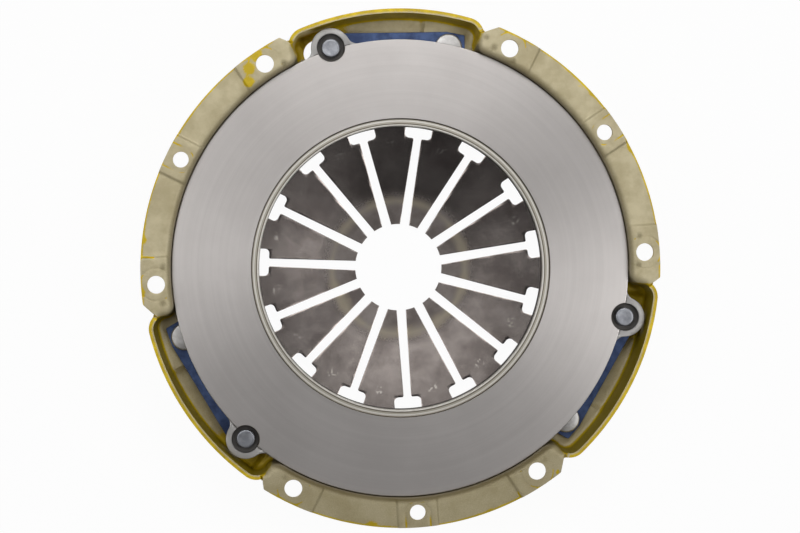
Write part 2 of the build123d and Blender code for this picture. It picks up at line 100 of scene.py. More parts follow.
def add_camera():
    """A long lens above the object, rolled as the photograph is."""
    unroll = Matrix.Rotation(-PHOTO_ROLL, 3, "Z")
    place = unroll @ CAMERA_ASIDE
    aim = unroll @ CAMERA_AIM
    back = (place - aim).normalized()
    up = unroll @ Vector((0, 1, 0))
    right = up.cross(back).normalized()
    up = back.cross(right)
    data = bpy.data.cameras.new("photo_camera")
    data.sensor_width = SENSOR_WIDTH
    data.lens = (place - aim).length / (MM_PER_PIXEL * MM) * SENSOR_WIDTH / IMAGE_WIDTH
    camera = bpy.data.objects.new("photo_camera", data)
    bpy.context.scene.collection.objects.link(camera)
    turn = Matrix((right, up, back)).transposed().to_4x4()
    camera.matrix_world = Matrix.Translation(place) @ turn
    bpy.context.scene.camera = camera
    print("lens", round(data.lens, 1), "mm at", round(place.length, 3), "m")


add_camera()

# %% [markdown]
# A white ground shows through the finger slots in the picture. The floor is pale by its own
# colour, and where the camera or a reflection sees it, it is lifted almost to white, so no lamp
# has to be turned up for it. It still keeps a little of the object's shadow. Four soft boxes
# stand close by: a strong one beyond the top of the picture, a dim one overhead that reaches
# the lower fingers, and one at each side. None stands beyond the lower edge, which is why the
# lower part of the metal is darker and the upper fingers are nearly black.

# %% Floor and light
FLOOR_GAP = 0.0002
FLOOR_SIZE = 6.0
FLOOR_COLOUR = (0.86, 0.86, 0.86, 1)
FLOOR_LIFT = 0.96
WORLD_GREY = (0.05, 0.051, 0.053, 1)
# Each soft box as its name, its place, its width and depth, and its power in watts
SOFT_BOXES = (
    ("top_box", (0.05, 0.46, 0.7), (0.75, 0.36), 2.85),
    ("overhead_box", (-0.02, 0.21, 0.85), (0.6, 0.2), 0.28),
    ("left_box", (-0.55, 0.06, 0.8), (0.36, 0.6), 1.85),
    ("right_box", (0.56, -0.12, 0.8), (0.36, 0.5), 2.15),
)


def add_floor():
    """A pale floor just under the rivets that the object rests on."""
    bpy.ops.mesh.primitive_plane_add(size=FLOOR_SIZE, location=(0, 0, cad_box[0][2] - FLOOR_GAP))
    floor = bpy.context.active_object
    floor.name = "floor"
    material = bpy.data.materials.new("pale_floor")
    material.use_nodes = True
    tree = material.node_tree
    tree.nodes.clear()
    out = tree.nodes.new("ShaderNodeOutputMaterial")
    matt = tree.nodes.new("ShaderNodeBsdfDiffuse")
    matt.inputs["Color"].default_value = FLOOR_COLOUR
    glow = tree.nodes.new("ShaderNodeEmission")
    path = tree.nodes.new("ShaderNodeLightPath")
    seen = tree.nodes.new("ShaderNodeMath")
    seen.operation = "MAXIMUM"
    tree.links.new(path.outputs["Is Camera Ray"], seen.inputs[0])
    tree.links.new(path.outputs["Is Glossy Ray"], seen.inputs[1])
    lift = tree.nodes.new("ShaderNodeMath")
    lift.operation = "MULTIPLY"
    lift.inputs[1].default_value = FLOOR_LIFT
    tree.links.new(seen.outputs[0], lift.inputs[0])
    mix = tree.nodes.new("ShaderNodeMixShader")
    tree.links.new(lift.outputs[0], mix.inputs["Fac"])
    tree.links.new(matt.outputs[0], mix.inputs[1])
    tree.links.new(glow.outputs[0], mix.inputs[2])
    tree.links.new(mix.outputs[0], out.inputs["Surface"])
    floor.data.materials.append(material)


def add_world():
    """Even grey light all round, white where the camera sees it."""
    world = bpy.data.worlds.new("studio")
    bpy.context.scene.world = world
    world.use_nodes = True
    tree = world.node_tree
    tree.nodes.clear()
    out = tree.nodes.new("ShaderNodeOutputWorld")
    soft = tree.nodes.new("ShaderNodeBackground")
    soft.inputs["Color"].default_value = WORLD_GREY
    white = tree.nodes.new("ShaderNodeBackground")
    path = tree.nodes.new("ShaderNodeLightPath")
    mix = tree.nodes.new("ShaderNodeMixShader")
    tree.links.new(path.outputs["Is Camera Ray"], mix.inputs["Fac"])
    tree.links.new(soft.outputs[0], mix.inputs[1])
    tree.links.new(white.outputs[0], mix.inputs[2])
    tree.links.new(mix.outputs[0], out.inputs["Surface"])


def add_softbox(name, place, size, power):
    """A soft lamp of a width and a depth that looks at the object."""
    data = bpy.data.lights.new(name, "AREA")
    data.shape = "RECTANGLE"
    data.size, data.size_y = size
    data.energy = power
    lamp = bpy.data.objects.new(name, data)
    bpy.context.scene.collection.objects.link(lamp)
    place = Vector(place)
    lamp.matrix_world = Matrix.Translation(place) @ place.to_track_quat("Z", "Y").to_matrix().to_4x4()


add_floor()
add_world()
for soft_box in SOFT_BOXES:
    add_softbox(*soft_box)
bpy.context.scene.view_settings.view_transform = "Standard"
print("soft boxes:", len(SOFT_BOXES))

# %% [markdown]
# Colours are read from the picture as screen values, and a shader wants them linear. The other
# small helpers below each add one node to a material or a group and hand back its output, so
# that a finish reads as a few sums of what it is made from.

# %% Material helpers


def linear(red, green, blue):
    """Screen values of 0 to 255 as the linear colour that a shader takes."""
    def one(value):
        value = value / 255
        return value / 12.92 if value <= 0.04045 else ((value + 0.055) / 1.055) ** 2.4
    return (one(red), one(green), one(blue), 1)


def new_group(name, inputs, outputs):
    """A shader node group with named sockets: (name, kind, default) in, (name, kind) out."""
    group = bpy.data.node_groups.new(name, "ShaderNodeTree")
    for label, kind, value in inputs:
        socket = group.interface.new_socket(name=label, in_out="INPUT", socket_type="NodeSocket" + kind)
        if value is not None:
            socket.default_value = value
    for label, kind in outputs:
        group.interface.new_socket(name=label, in_out="OUTPUT", socket_type="NodeSocket" + kind)
    start = group.nodes.new("NodeGroupInput")
    end = group.nodes.new("NodeGroupOutput")
    return group, start, end


def maths(tree, operation, first, second=None, third=None):
    """A math node fed by sockets or plain numbers; returns its output."""
    node = tree.nodes.new("ShaderNodeMath")
    node.operation = operation
    for number, value in enumerate((first, second, third)):
        if value is None:
            continue
        if isinstance(value, (int, float)):
            node.inputs[number].default_value = value
        else:
            tree.links.new(value, node.inputs[number])
    return node.outputs[0]


def inverse(tree, value):
    """One minus a value."""
    return maths(tree, "SUBTRACT", 1.0, value)


def mixed(tree, first, share, second):
    """A share of one value and the rest of another."""
    return maths(tree, "MULTIPLY_ADD", first, share, maths(tree, "MULTIPLY", second, 1 - share))


def blend_colour(tree, factor, first, second):
    """A colour mix fed by sockets or plain colours; returns its output."""
    node = tree.nodes.new("ShaderNodeMix")
    node.data_type = "RGBA"
    for socket, value in ((node.inputs[0], factor), (node.inputs[6], first), (node.inputs[7], second)):
        if hasattr(value, "is_linked"):
            tree.links.new(value, socket)
        else:
            socket.default_value = value
    return node.outputs[2]


def noise(tree, vector, scale, detail, rough, dims="3D"):
    """A noise texture on a vector; returns its value."""
    node = tree.nodes.new("ShaderNodeTexNoise")
    node.noise_dimensions = dims
    node.inputs["Scale"].default_value = scale
    node.inputs["Detail"].default_value = detail
    node.inputs["Roughness"].default_value = rough
    tree.links.new(vector, node.inputs["Vector"])
    return node.outputs["Fac"]


def window(tree, value, low, high):
    """Smooth step of a value between two bounds."""
    node = tree.nodes.new("ShaderNodeMapRange")
    node.interpolation_type = "SMOOTHSTEP"
    node.inputs["From Min"].default_value = low
    node.inputs["From Max"].default_value = high
    tree.links.new(value, node.inputs["Value"])
    return node.outputs["Result"]


def object_point(tree):
    """The point on the object, in metres."""
    return tree.nodes.new("ShaderNodeTexCoord").outputs["Object"]


# %% [markdown]
# Three effects come back on several finishes, so each is a node group: **polar** turns a point
# into its radius and angle round the clutch axis, **machining** gives the fine rings that a
# lathe or grinder leaves, and **mottle** gives the uneven tone of steel that has been plated,
# handled and stored.

# %% Shared node groups


def build_polar():
    """Radius in metres and angle round the axis."""
    outputs = [("Radius", "Float"), ("Angle", "Float")]
    group, start, end = new_group("polar", [("Point", "Vector", None)], outputs)
    split = group.nodes.new("ShaderNodeSeparateXYZ")
    group.links.new(start.outputs["Point"], split.inputs[0])
    squared = maths(group, "MULTIPLY", split.outputs["X"], split.outputs["X"])
    total = maths(group, "MULTIPLY_ADD", split.outputs["Y"], split.outputs["Y"], squared)
    group.links.new(maths(group, "SQRT", total), end.inputs["Radius"])
    group.links.new(maths(group, "ARCTAN2", split.outputs["Y"], split.outputs["X"]), end.inputs["Angle"])
    return group


def build_machining(polar):
    """Fine rings round the axis: rings of random height, broken a little round the circle."""
    inputs = [("Point", "Vector", None), ("Rings per metre", "Float", 3000.0), ("Break up", "Float", 0.3)]
    group, start, end = new_group("machining", inputs, [("Height", "Float"), ("Tone", "Float")])
    round_axis = group.nodes.new("ShaderNodeGroup")
    round_axis.node_tree = polar
    group.links.new(start.outputs["Point"], round_axis.inputs["Point"])
    along = maths(group, "MULTIPLY", round_axis.outputs["Radius"], start.outputs["Rings per metre"])
    around = maths(group, "MULTIPLY", round_axis.outputs["Angle"], start.outputs["Break up"])
    flat = group.nodes.new("ShaderNodeCombineXYZ")
    group.links.new(along, flat.inputs["X"])
    group.links.new(around, flat.inputs["Y"])
    fine = noise(group, flat.outputs[0], scale=1.0, detail=2.0, rough=0.6, dims="2D")
    broad = noise(group, flat.outputs[0], scale=0.06, detail=3.0, rough=0.6, dims="2D")
    group.links.new(fine, end.inputs["Height"])
    group.links.new(mixed(group, broad, 0.6, fine), end.inputs["Tone"])
    return group


def build_mottle():
    """A soft blotch and a fine grain."""
    inputs = [("Point", "Vector", None), ("Blotches per metre", "Float", 60.0)]
    group, start, end = new_group("mottle", inputs, [("Blotch", "Float"), ("Grain", "Float")])
    spread = group.nodes.new("ShaderNodeVectorMath")
    spread.operation = "SCALE"
    group.links.new(start.outputs["Point"], spread.inputs[0])
    group.links.new(start.outputs["Blotches per metre"], spread.inputs["Scale"])
    blotch = noise(group, spread.outputs[0], scale=1.0, detail=5.0, rough=0.6)
    grain = noise(group, start.outputs["Point"], scale=1800.0, detail=2.0, rough=0.6)
    group.links.new(blotch, end.inputs["Blotch"])
    group.links.new(grain, end.inputs["Grain"])
    return group


polar_group = build_polar()
machining_group = build_machining(polar_group)
mottle_group = build_mottle()
print("shared groups:", polar_group.name, machining_group.name, mottle_group.name)

# %% [markdown]
# A finish is one Principled shader. The helpers below start such a material, place a shared
# group in it and add fine relief through a Bump node, because the grain of rolled or ground
# steel is finer than any mesh could hold.

# %% Finish helpers


def use_group(tree, group, point, **values):
    """Places a group in a material, feeds it the object point and sets its values."""
    node = tree.nodes.new("ShaderNodeGroup")
    node.node_tree = group
    tree.links.new(point, node.inputs["Point"])
    for label, value in values.items():
        node.inputs[label.replace("_", " ")].default_value = value
    return node


def new_finish(name, metallic=0.0, rough=0.5):
    """An empty material: its tree, its Principled shader and the object point."""
    material = bpy.data.materials.new(name)
    material.use_nodes = True
    tree = material.node_tree
    shader = tree.nodes["Principled BSDF"]
    shader.inputs["Metallic"].default_value = metallic
    shader.inputs["Roughness"].default_value = rough
    return material, tree, shader, object_point(tree)


def add_bump(tree, shader, height, distance, strength=1.0):
    """Fine relief that a mesh is too coarse to hold."""
    bump = tree.nodes.new("ShaderNodeBump")
    bump.inputs["Strength"].default_value = strength
    bump.inputs["Distance"].default_value = distance
    tree.links.new(height, bump.inputs["Height"])
    tree.links.new(bump.outputs[0], shader.inputs["Normal"])


# %% [markdown]
# The friction ring is ground cast iron: pale warm grey, semi matt, with very fine rings and a
# slow drift of tone. The grain of the grinding runs round the axis, so a highlight spreads
# across it. The bore has a turned land of its own grey. Pale lines on its two edges are painted
# highlights, and it carries dark lines, of which the one at the step up to the face is painted
# shade. The lugs keep a plainer grey, and the back is as cast, rougher and darker. The fine
# groove in front of each lug gets that dark colour too, as painted shade. All of these are one
# material, and masks made from the height and the radius say where each of them shows.

# %% Iron
IRON_FACE_Z = -0.0063
IRON_LIGHT = linear(206, 201, 198)
IRON_DARK = linear(196, 191, 188)
# Dark as-cast colour of the back, also used as painted shade in the lugs' grooves
IRON_CAST_AND_GROOVE_SHADE = linear(96, 93, 90)
CAST_DEPTH = 0.003
CAST_FADE = 0.002
GROOVE_DEPTH = 0.00105
GROOVE_START = 0.1
SHARP_FADE = 0.0002
TURNED_GREY = linear(186, 180, 166)
# Painted highlight: pale lines on the two edges of the turned land
PAINTED_HIGHLIGHT_PALE = linear(240, 236, 228)
# Dark lines on the land; the one at the step up to the face is painted shade
DARK_LINE_AND_SHADE = linear(92, 82, 68)
LAND_EDGE = 0.0757
# Radii of the painted highlights on the land's edges, and of the dark lines
HIGHLIGHT_LINES, PALE_HALF = (0.07455, 0.07235), 0.00055
DARK_LINES, DARK_HALF = (0.07555, 0.0731), 0.0003
LUG_START = 0.1157
LUG_GREY = linear(176, 174, 172)


def lines_at(tree, radius, places, half):
    """One on thin circles round the axis, nothing beyond half their width."""
    lines = 0.0
    for place in places:
        away = maths(tree, "ABSOLUTE", maths(tree, "SUBTRACT", radius, place))
        lines = maths(tree, "MAXIMUM", inverse(tree, window(tree, away, half * 0.4, half)), lines)
    return lines


def iron_masks(tree, height, radius):
    """Where the iron is as cast or has painted shade in a lug's groove, where it is the turned land of the
    bore and where it is a lug.
    """
    cast_and_groove_shade = window(tree, maths(tree, "SUBTRACT", IRON_FACE_Z - CAST_DEPTH, height), 0.0, CAST_FADE)
    # The fine groove in front of each lug takes the cast colour: painted shade
    groove = window(tree, maths(tree, "SUBTRACT", IRON_FACE_Z - GROOVE_DEPTH, height), 0.0, SHARP_FADE)
    beyond = window(tree, radius, GROOVE_START, GROOVE_START + 0.002)
    cast_and_groove_shade = maths(tree, "MAXIMUM", cast_and_groove_shade, maths(tree, "MULTIPLY", groove, beyond))
    land = inverse(tree, window(tree, radius, LAND_EDGE - SHARP_FADE, LAND_EDGE + SHARP_FADE))
    land = maths(tree, "MULTIPLY", land, inverse(tree, cast_and_groove_shade))
    lug = window(tree, radius, LUG_START, LUG_START + SHARP_FADE)
    return cast_and_groove_shade, land, lug


def iron_finish():
    """Ground on its face, turned at its bore and cast behind, with painted highlights and shade on the
    bore's land and painted shade in the lugs' grooves.
    """
    material, tree, shader, point = new_finish("ground_iron", metallic=0.8, rough=0.4)
    marks = use_group(tree, machining_group, point, Rings_per_metre=4200.0, Break_up=0.6)
    blot = use_group(tree, mottle_group, point, Blotches_per_metre=26.0)
    radius = use_group(tree, polar_group, point).outputs["Radius"]
    split = tree.nodes.new("ShaderNodeSeparateXYZ")
    tree.links.new(point, split.inputs[0])
    cast_and_groove_shade, land, lug = iron_masks(tree, split.outputs["Z"], radius)
    tone = window(tree, mixed(tree, marks.outputs["Tone"], 0.5, blot.outputs["Blotch"]), 0.35, 0.65)
    colour = blend_colour(tree, tone, IRON_DARK, IRON_LIGHT)
    colour = blend_colour(tree, land, colour, TURNED_GREY)
    # Painted highlights on the land's edges, then the dark lines, one of them painted shade at the step
    colour = blend_colour(tree, lines_at(tree, radius, HIGHLIGHT_LINES, PALE_HALF), colour, PAINTED_HIGHLIGHT_PALE)
    colour = blend_colour(tree, lines_at(tree, radius, DARK_LINES, DARK_HALF), colour, DARK_LINE_AND_SHADE)
    colour = blend_colour(tree, lug, colour, LUG_GREY)
    tree.links.new(blend_colour(tree, cast_and_groove_shade, colour, IRON_CAST_AND_GROOVE_SHADE), shader.inputs["Base Color"])
    # The land and the lugs take less of a mirror's look than the ground face
    plain = maths(tree, "MAXIMUM", land, lug)
    tree.links.new(maths(tree, "MULTIPLY_ADD", plain, -0.5, 0.8), shader.inputs["Metallic"])
    matt = maths(tree, "MULTIPLY_ADD", cast_and_groove_shade, 0.25, 0.34)
    rough = maths(tree, "MULTIPLY_ADD", marks.outputs["Height"], 0.06, matt)
    tree.links.new(rough, shader.inputs["Roughness"])
    # The tangent points away from the axis, so the highlight is drawn out across the rings
    across = tree.nodes.new("ShaderNodeCombineXYZ")
    tree.links.new(split.outputs["X"], across.inputs["X"])
    tree.links.new(split.outputs["Y"], across.inputs["Y"])
    tree.links.new(across.outputs[0], shader.inputs["Tangent"])
    shader.inputs["Anisotropic"].default_value = 0.55
    add_bump(tree, shader, marks.outputs["Height"], 0.00001, 0.5)
    return material


finishes = {"plate_iron": iron_finish()}
print("iron:", finishes["plate_iron"].name)


# %% [markdown]
# The diaphragm is tempered spring steel, nearly black with a brown cast. A straw coloured band
# near the finger tips is partly a straw tint and partly a painted highlight on the flatter tips
# past the knee, and each finger has small pale specks on its middle near the root. The angle
# round the axis, folded once for every finger, finds that middle.

# %% Spring steel
SPRING_DARK = linear(128, 119, 115)
SPRING_MID = linear(168, 159, 154)
# Straw tint near the tips, which also serves as a painted highlight on the flatter tips
SPRING_STRAW_AND_HIGHLIGHT = linear(204, 192, 168)
# Small pale specks on the middle of each finger near its root
SPECK_PALE = linear(206, 200, 192)
SPECK_RADIUS = 0.0645
FINGERS = 15
FOLD_START = 0.75
STRAW_RADIUS = 0.0345
STRAW_WIDTH = 0.005
STRAW_WANDER = 0.012
TIP_FADE = (0.034, 0.043)


def straw_and_highlight_band(tree, radius, blotch):
    """One near the finger tips, fading out over a width, with a wandering edge."""
    away = maths(tree, "ABSOLUTE", maths(tree, "SUBTRACT", radius, STRAW_RADIUS))
    moved = maths(tree, "MULTIPLY_ADD", blotch, STRAW_WANDER, away)
    return inverse(tree, window(tree, moved, 0.005, 0.005 + STRAW_WIDTH))


def pale_speck_mask(tree, point, radius, angle):
    """Broken specks on the middle of each finger, near its root."""
    folds = maths(tree, "MULTIPLY_ADD", angle, FINGERS / (2 * math.pi), FOLD_START)
    middle = window(tree, maths(tree, "PINGPONG", folds, 0.5), 0.38, 0.44)
    away = maths(tree, "ABSOLUTE", maths(tree, "SUBTRACT", radius, SPECK_RADIUS))
    place = maths(tree, "MULTIPLY", middle, window(tree, away, 0.003, 0.0015))
    speck = window(tree, noise(tree, point, scale=700.0, detail=1.0, rough=0.5), 0.56, 0.64)
    return maths(tree, "MULTIPLY", place, maths(tree, "MULTIPLY", speck, 0.8))


def spring_finish():
    """Dark tempered steel with its straw band, partly a painted highlight, and its pale specks, a little
    more matt at the tips.
    """
    material, tree, shader, point = new_finish("tempered_spring", metallic=1.0, rough=0.36)
    blot = use_group(tree, mottle_group, point, Blotches_per_metre=55.0)
    polar = use_group(tree, polar_group, point)
    radius = polar.outputs["Radius"]
    colour = blend_colour(tree, window(tree, blot.outputs["Blotch"], 0.3, 0.7), SPRING_DARK, SPRING_MID)
    # Straw band: partly a tint, partly a painted highlight on the flatter tips
    straw_and_highlight = maths(tree, "MULTIPLY", straw_and_highlight_band(tree, radius, blot.outputs["Blotch"]), 0.6)
    colour = blend_colour(tree, straw_and_highlight, colour, SPRING_STRAW_AND_HIGHLIGHT)
    colour = blend_colour(tree, pale_speck_mask(tree, point, radius, polar.outputs["Angle"]), colour, SPECK_PALE)
    tree.links.new(colour, shader.inputs["Base Color"])
    tips = inverse(tree, window(tree, radius, *TIP_FADE))
    matt = maths(tree, "MULTIPLY_ADD", tips, 0.09, 0.16)
    rough = maths(tree, "MULTIPLY_ADD", blot.outputs["Grain"], 0.12, matt)
    tree.links.new(rough, shader.inputs["Roughness"])
    add_bump(tree, shader, blot.outputs["Grain"], 0.00001, 0.4)
    return material


finishes["spring_steel"] = spring_finish()
print("spring:", finishes["spring_steel"].name)


# %% [markdown]
# The straps are blued spring steel, the rivets are bare headed steel, duller where their tails
# were pressed up in the lugs, and the fulcrum rings are drawn wire. All are smooth, so a little
# mottle in the colour and the roughness is what makes them read as metal.

# %% Strap, rivet and wire steel
STRAP_BLUE = linear(78, 97, 138)
STRAP_NAVY = linear(54, 67, 102)
RIVET_PALE = linear(206, 204, 202)
RIVET_GREY = linear(178, 176, 174)
TAIL_PALE = linear(168, 170, 176)
TAIL_GREY = linear(136, 138, 144)
WIRE_PALE = linear(110, 108, 106)
WIRE_DARK = linear(70, 68, 66)
GRAIN_DEPTH = 0.18


def mottled_steel(name, light, dark, metallic, rough, blotches):
    """Plain steel between a light and a dark tone, with uneven shine."""
    material, tree, shader, point = new_finish(name, metallic=metallic, rough=rough)
    blot = use_group(tree, mottle_group, point, Blotches_per_metre=blotches)
    tone = window(tree, blot.outputs["Blotch"], 0.35, 0.65)
    tree.links.new(blend_colour(tree, tone, dark, light), shader.inputs["Base Color"])
    shine = maths(tree, "MULTIPLY_ADD", blot.outputs["Grain"], GRAIN_DEPTH, rough - GRAIN_DEPTH / 2)
    tree.links.new(shine, shader.inputs["Roughness"])
    add_bump(tree, shader, blot.outputs["Grain"], 0.00002, 0.4)
    return material


finishes["strap_steel"] = mottled_steel("blued_strap", STRAP_BLUE, STRAP_NAVY, 0.7, 0.36, 120.0)
finishes["rivet_steel"] = mottled_steel("headed_steel", RIVET_PALE, RIVET_GREY, 0.75, 0.36, 220.0)
finishes["ring_wire"] = mottled_steel("drawn_wire", WIRE_PALE, WIRE_DARK, 0.8, 0.4, 150.0)
dull_tail = mottled_steel("dull_tail", TAIL_PALE, TAIL_GREY, 0.75, 0.4, 220.0)
print("finishes so far:", ", ".join(sorted(finishes)), "and", dull_tail.name)


# %% [markdown]
# The cover is pressed steel with a dull khaki plating inside, sprayed yellow from behind. The
# paint wraps over the cut edges and fades into the pockets as overspray. Where paint lies, and
# where dirt and painted shade darken the steel, is kept on the mesh, and the finish roughens the
# borders of both with a dusty noise. The painted shade lies in the bends, on the steep pocket
# walls, deeper in the two lower pockets and towards the bottom of the flange.

# %% Cover steel
PLATE_KHAKI = linear(212, 200, 164)
PLATE_OLIVE = linear(186, 173, 135)
# Brown and dark yellow that stand for dirt and for painted shade on the plating and the paint
PLATE_BROWN = linear(98, 84, 42)
PAINT_SHADE = linear(134, 116, 5)
PAINT_YELLOW = linear(240, 208, 20)
PAINT_OCHRE = linear(206, 176, 14)


def painted_layer(tree, name):
    """A value that the mesh carries for each point."""
    layer = tree.nodes.new("ShaderNodeAttribute")
    layer.attribute_name = name
    return layer.outputs["Fac"]


def cover_finish():
    """Khaki plating and yellow paint, both darkened by dirt and by painted shade."""
    material, tree, shader, point = new_finish("plated_and_painted", metallic=0.2, rough=0.5)
    fine = use_group(tree, mottle_group, point, Blotches_per_metre=120.0)
    broad = use_group(tree, mottle_group, point, Blotches_per_metre=34.0)
    blotch, grain = fine.outputs["Blotch"], fine.outputs["Grain"]
    tone = mixed(tree, broad.outputs["Blotch"], 0.5, blotch)
    plated = blend_colour(tree, window(tree, tone, 0.36, 0.64), PLATE_OLIVE, PLATE_KHAKI)
    wander = maths(tree, "SUBTRACT", mixed(tree, grain, 0.6, blotch), 0.5)
    # The grime layer darkens plating and paint: dirt, and painted shade in the bends, on walls, in the lower
    # pockets and low on the flange
    dirt_and_shade = maths(tree, "ADD", painted_layer(tree, "grime_and_shade"), maths(tree, "MULTIPLY", wander, 0.6))
    soil_and_shade = window(tree, dirt_and_shade, 0.1, 1.0)
    plated = blend_colour(tree, maths(tree, "MULTIPLY", soil_and_shade, 0.8), plated, PLATE_BROWN)
    painted = blend_colour(tree, window(tree, blotch, 0.4, 0.75), PAINT_OCHRE, PAINT_YELLOW)
    # Paint under dirt and painted shade turns dark olive
    painted = blend_colour(tree, soil_and_shade, painted, PAINT_SHADE)
    mask = window(tree, maths(tree, "ADD", painted_layer(tree, "paint"), wander), 0.32, 0.68)
    tree.links.new(blend_colour(tree, mask, plated, painted), shader.inputs["Base Color"])
    rough = maths(tree, "MULTIPLY_ADD", grain, 0.25, 0.36)
    tree.links.new(rough, shader.inputs["Roughness"])
    add_bump(tree, shader, grain, 0.00004, 0.6)
    return material


finishes["cover_steel"] = cover_finish()
print("finishes:", ", ".join(sorted(finishes)))

# %% [markdown]
# Now the shapes. Three of the pieces are rings: the pressed cover, the cast plate and the
# diaphragm. One could draw a section and spin it, but the cover and the plate change round the
# circle, at the pockets, the pads and the lugs. So a circle is extruded ring by ring into a
# tube with columns and rings, and then every point of that tube is moved to its place on the
# real form. More columns go where the form turns sharply.

# %% Selecting and editing
MERGE_GAP = 0.000002


def only(piece):
    """Selects one piece and makes it the active one."""
    if bpy.context.mode != "OBJECT":
        bpy.ops.object.mode_set(mode="OBJECT")
    bpy.ops.object.select_all(action="DESELECT")
    piece.select_set(True)
    bpy.context.view_layer.objects.active = piece


def named_active(name):
    """Names the piece that was just added or joined."""
    piece = bpy.context.active_object
    piece.name = name
    piece.data.name = name
    return piece


def edit(piece):
    """Edit mode with everything selected."""
    only(piece)
    bpy.ops.object.mode_set(mode="EDIT")
    bpy.ops.mesh.select_all(action="SELECT")


def close_up(piece):
    """Merges doubled points and turns the faces outwards."""
    edit(piece)
    bpy.ops.mesh.remove_doubles(threshold=MERGE_GAP)
    bpy.ops.mesh.normals_make_consistent(inside=False)
    bpy.ops.object.mode_set(mode="OBJECT")

# %% [markdown]
# Four kinds of start are enough for this object. The ring tube makes the round pieces, the
# lathe spins a turned section, the prism raises a flat outline, and the pin is a plain
# cylinder that serves as a drill. All of them take their sizes in millimetres.

# %% Starting shapes


def ring_tube(name, columns, rings):
    """A unit circle extruded downwards ring by ring, one metre at a time."""
    bpy.ops.object.select_all(action="DESELECT")
    bpy.ops.mesh.primitive_circle_add(vertices=columns, radius=1, location=(0, 0, 0))
    piece = named_active(name)
    edit(piece)
    bpy.ops.mesh.select_mode(type="EDGE")
    for _ in range(rings - 1):
        bpy.ops.mesh.extrude_edges_move(TRANSFORM_OT_translate={"value": (0, 0, -1)})
    bpy.ops.object.mode_set(mode="OBJECT")
    return piece


def form_tube(piece, angles, place):
    """Moves each point of a ring tube to place(ring, angle), a point in mm."""
    count = len(angles)
    for vertex in piece.data.vertices:
        turn = math.degrees(math.atan2(vertex.co.y, vertex.co.x)) % 360
        angle = angles[round(turn / 360 * count) % count]
        vertex.co = [value * MM for value in place(round(-vertex.co.z), angle)]


def spin(point, angle):
    """A section's (radius, height) point turned to an angle, in mm."""
    return (*at(point[0], angle), point[1])


def lathe(name, section, columns=120):
    """A closed ring or a turned solid: a section of (radius, height) points in mm, spun round."""
    closed = section[0][0] > 0 or section[-1][0] > 0
    points = section + section[:1] if closed else section
    piece = ring_tube(name, columns, len(points))
    angles = [360 / columns * step for step in range(columns)]
    form_tube(piece, angles, lambda ring, angle: spin(points[ring], angle))
    close_up(piece)
    return piece


def prism(name, outline, low, high):
    """An upright block from an outline of (x, y) points in mm."""
    bpy.ops.object.select_all(action="DESELECT")
    bpy.ops.mesh.primitive_circle_add(vertices=len(outline), radius=1, location=(0, 0, 0))
    piece = named_active(name)
    for vertex, (x, y) in zip(piece.data.vertices, outline):
        vertex.co = (x * MM, y * MM, low * MM)
    edit(piece)
    bpy.ops.mesh.edge_face_add()
    bpy.ops.mesh.extrude_region_move(TRANSFORM_OT_translate={"value": (0, 0, (high - low) * MM)})
    bpy.ops.mesh.select_all(action="SELECT")
    bpy.ops.mesh.normals_make_consistent(inside=False)
    bpy.ops.object.mode_set(mode="OBJECT")
    return piece


def pin(radius, low, high, x=0, y=0, sides=48):
    """An upright round cutter or stem, sizes in mm."""
    bpy.ops.object.select_all(action="DESELECT")
    depth = (high - low) * MM
    place = (x * MM, y * MM, (low + high) / 2 * MM)
    bpy.ops.mesh.primitive_cylinder_add(vertices=sides, radius=radius * MM, depth=depth, location=place)
    bpy.ops.object.transform_apply(location=True, rotation=True, scale=True)
    return bpy.context.active_object

# %% [markdown]
# What repeats is made once and copied, each copy with its own mesh. Holes are cut by a boolean
# and sharp edges are broken by a bevel, and each modifier is applied at once.

# %% Copying, cutting and rounding


def moved_copy(piece, name, matrix):
    """A copy with its own mesh, moved by a matrix."""
    twin = piece.copy()
    twin.data = piece.data.copy()
    twin.name = name
    twin.data.name = name
    twin.data.transform(matrix)
    bpy.context.scene.collection.objects.link(twin)
    return twin


def joined(pieces, name):
    """Several pieces as one."""
    only(pieces[0])
    for piece in pieces:
        piece.select_set(True)
    bpy.ops.object.join()
    return named_active(name)


def apply_modifier(piece, kind, **settings):
    """Adds a modifier with its settings and applies it."""
    only(piece)
    modifier = piece.modifiers.new(kind.lower(), kind)
    for key, value in settings.items():
        setattr(modifier, key, value)
    bpy.ops.object.modifier_apply(modifier=modifier.name)


def cut_away(piece, cutters):
    """Cuts with one boolean by all the cutters, which must not touch each other."""
    cutter = joined(cutters, "cutter") if len(cutters) > 1 else cutters[0]
    apply_modifier(piece, "BOOLEAN", operation="DIFFERENCE", solver="EXACT", object=cutter)
    bpy.data.objects.remove(cutter)


def round_edges(piece, width, segments=2, angle=40):
    """Small bevels on the sharp edges only, with widths in mm."""
    apply_modifier(piece, "BEVEL", width=width * MM, segments=segments,
                   limit_method="ANGLE", angle_limit=math.radians(angle))


def smooth_shade(piece, angle=32):
    """Smooth shading that keeps edges sharper than an angle."""
    only(piece)
    bpy.ops.object.shade_smooth_by_angle(angle=math.radians(angle))


# %% Places, steps and the finished piece


def at(radius, angle):
    """Point in mm at a radius and an angle in degrees."""
    return (radius * math.cos(math.radians(angle)), radius * math.sin(math.radians(angle)))


def turn_z(angle):
    """A turn round the clutch axis, in degrees."""
    return Matrix.Rotation(math.radians(angle), 4, "Z")


def ease(value, low, high):
    """Smooth step from 0 to 1 between two bounds, either way round."""
    share = min(max((value - low) / (high - low), 0), 1)
    return share * share * (3 - 2 * share)


def between(first, last, count):
    """Count values after the first, up to and with the last."""
    return [first + (last - first) * (step + 1) / count for step in range(count)]


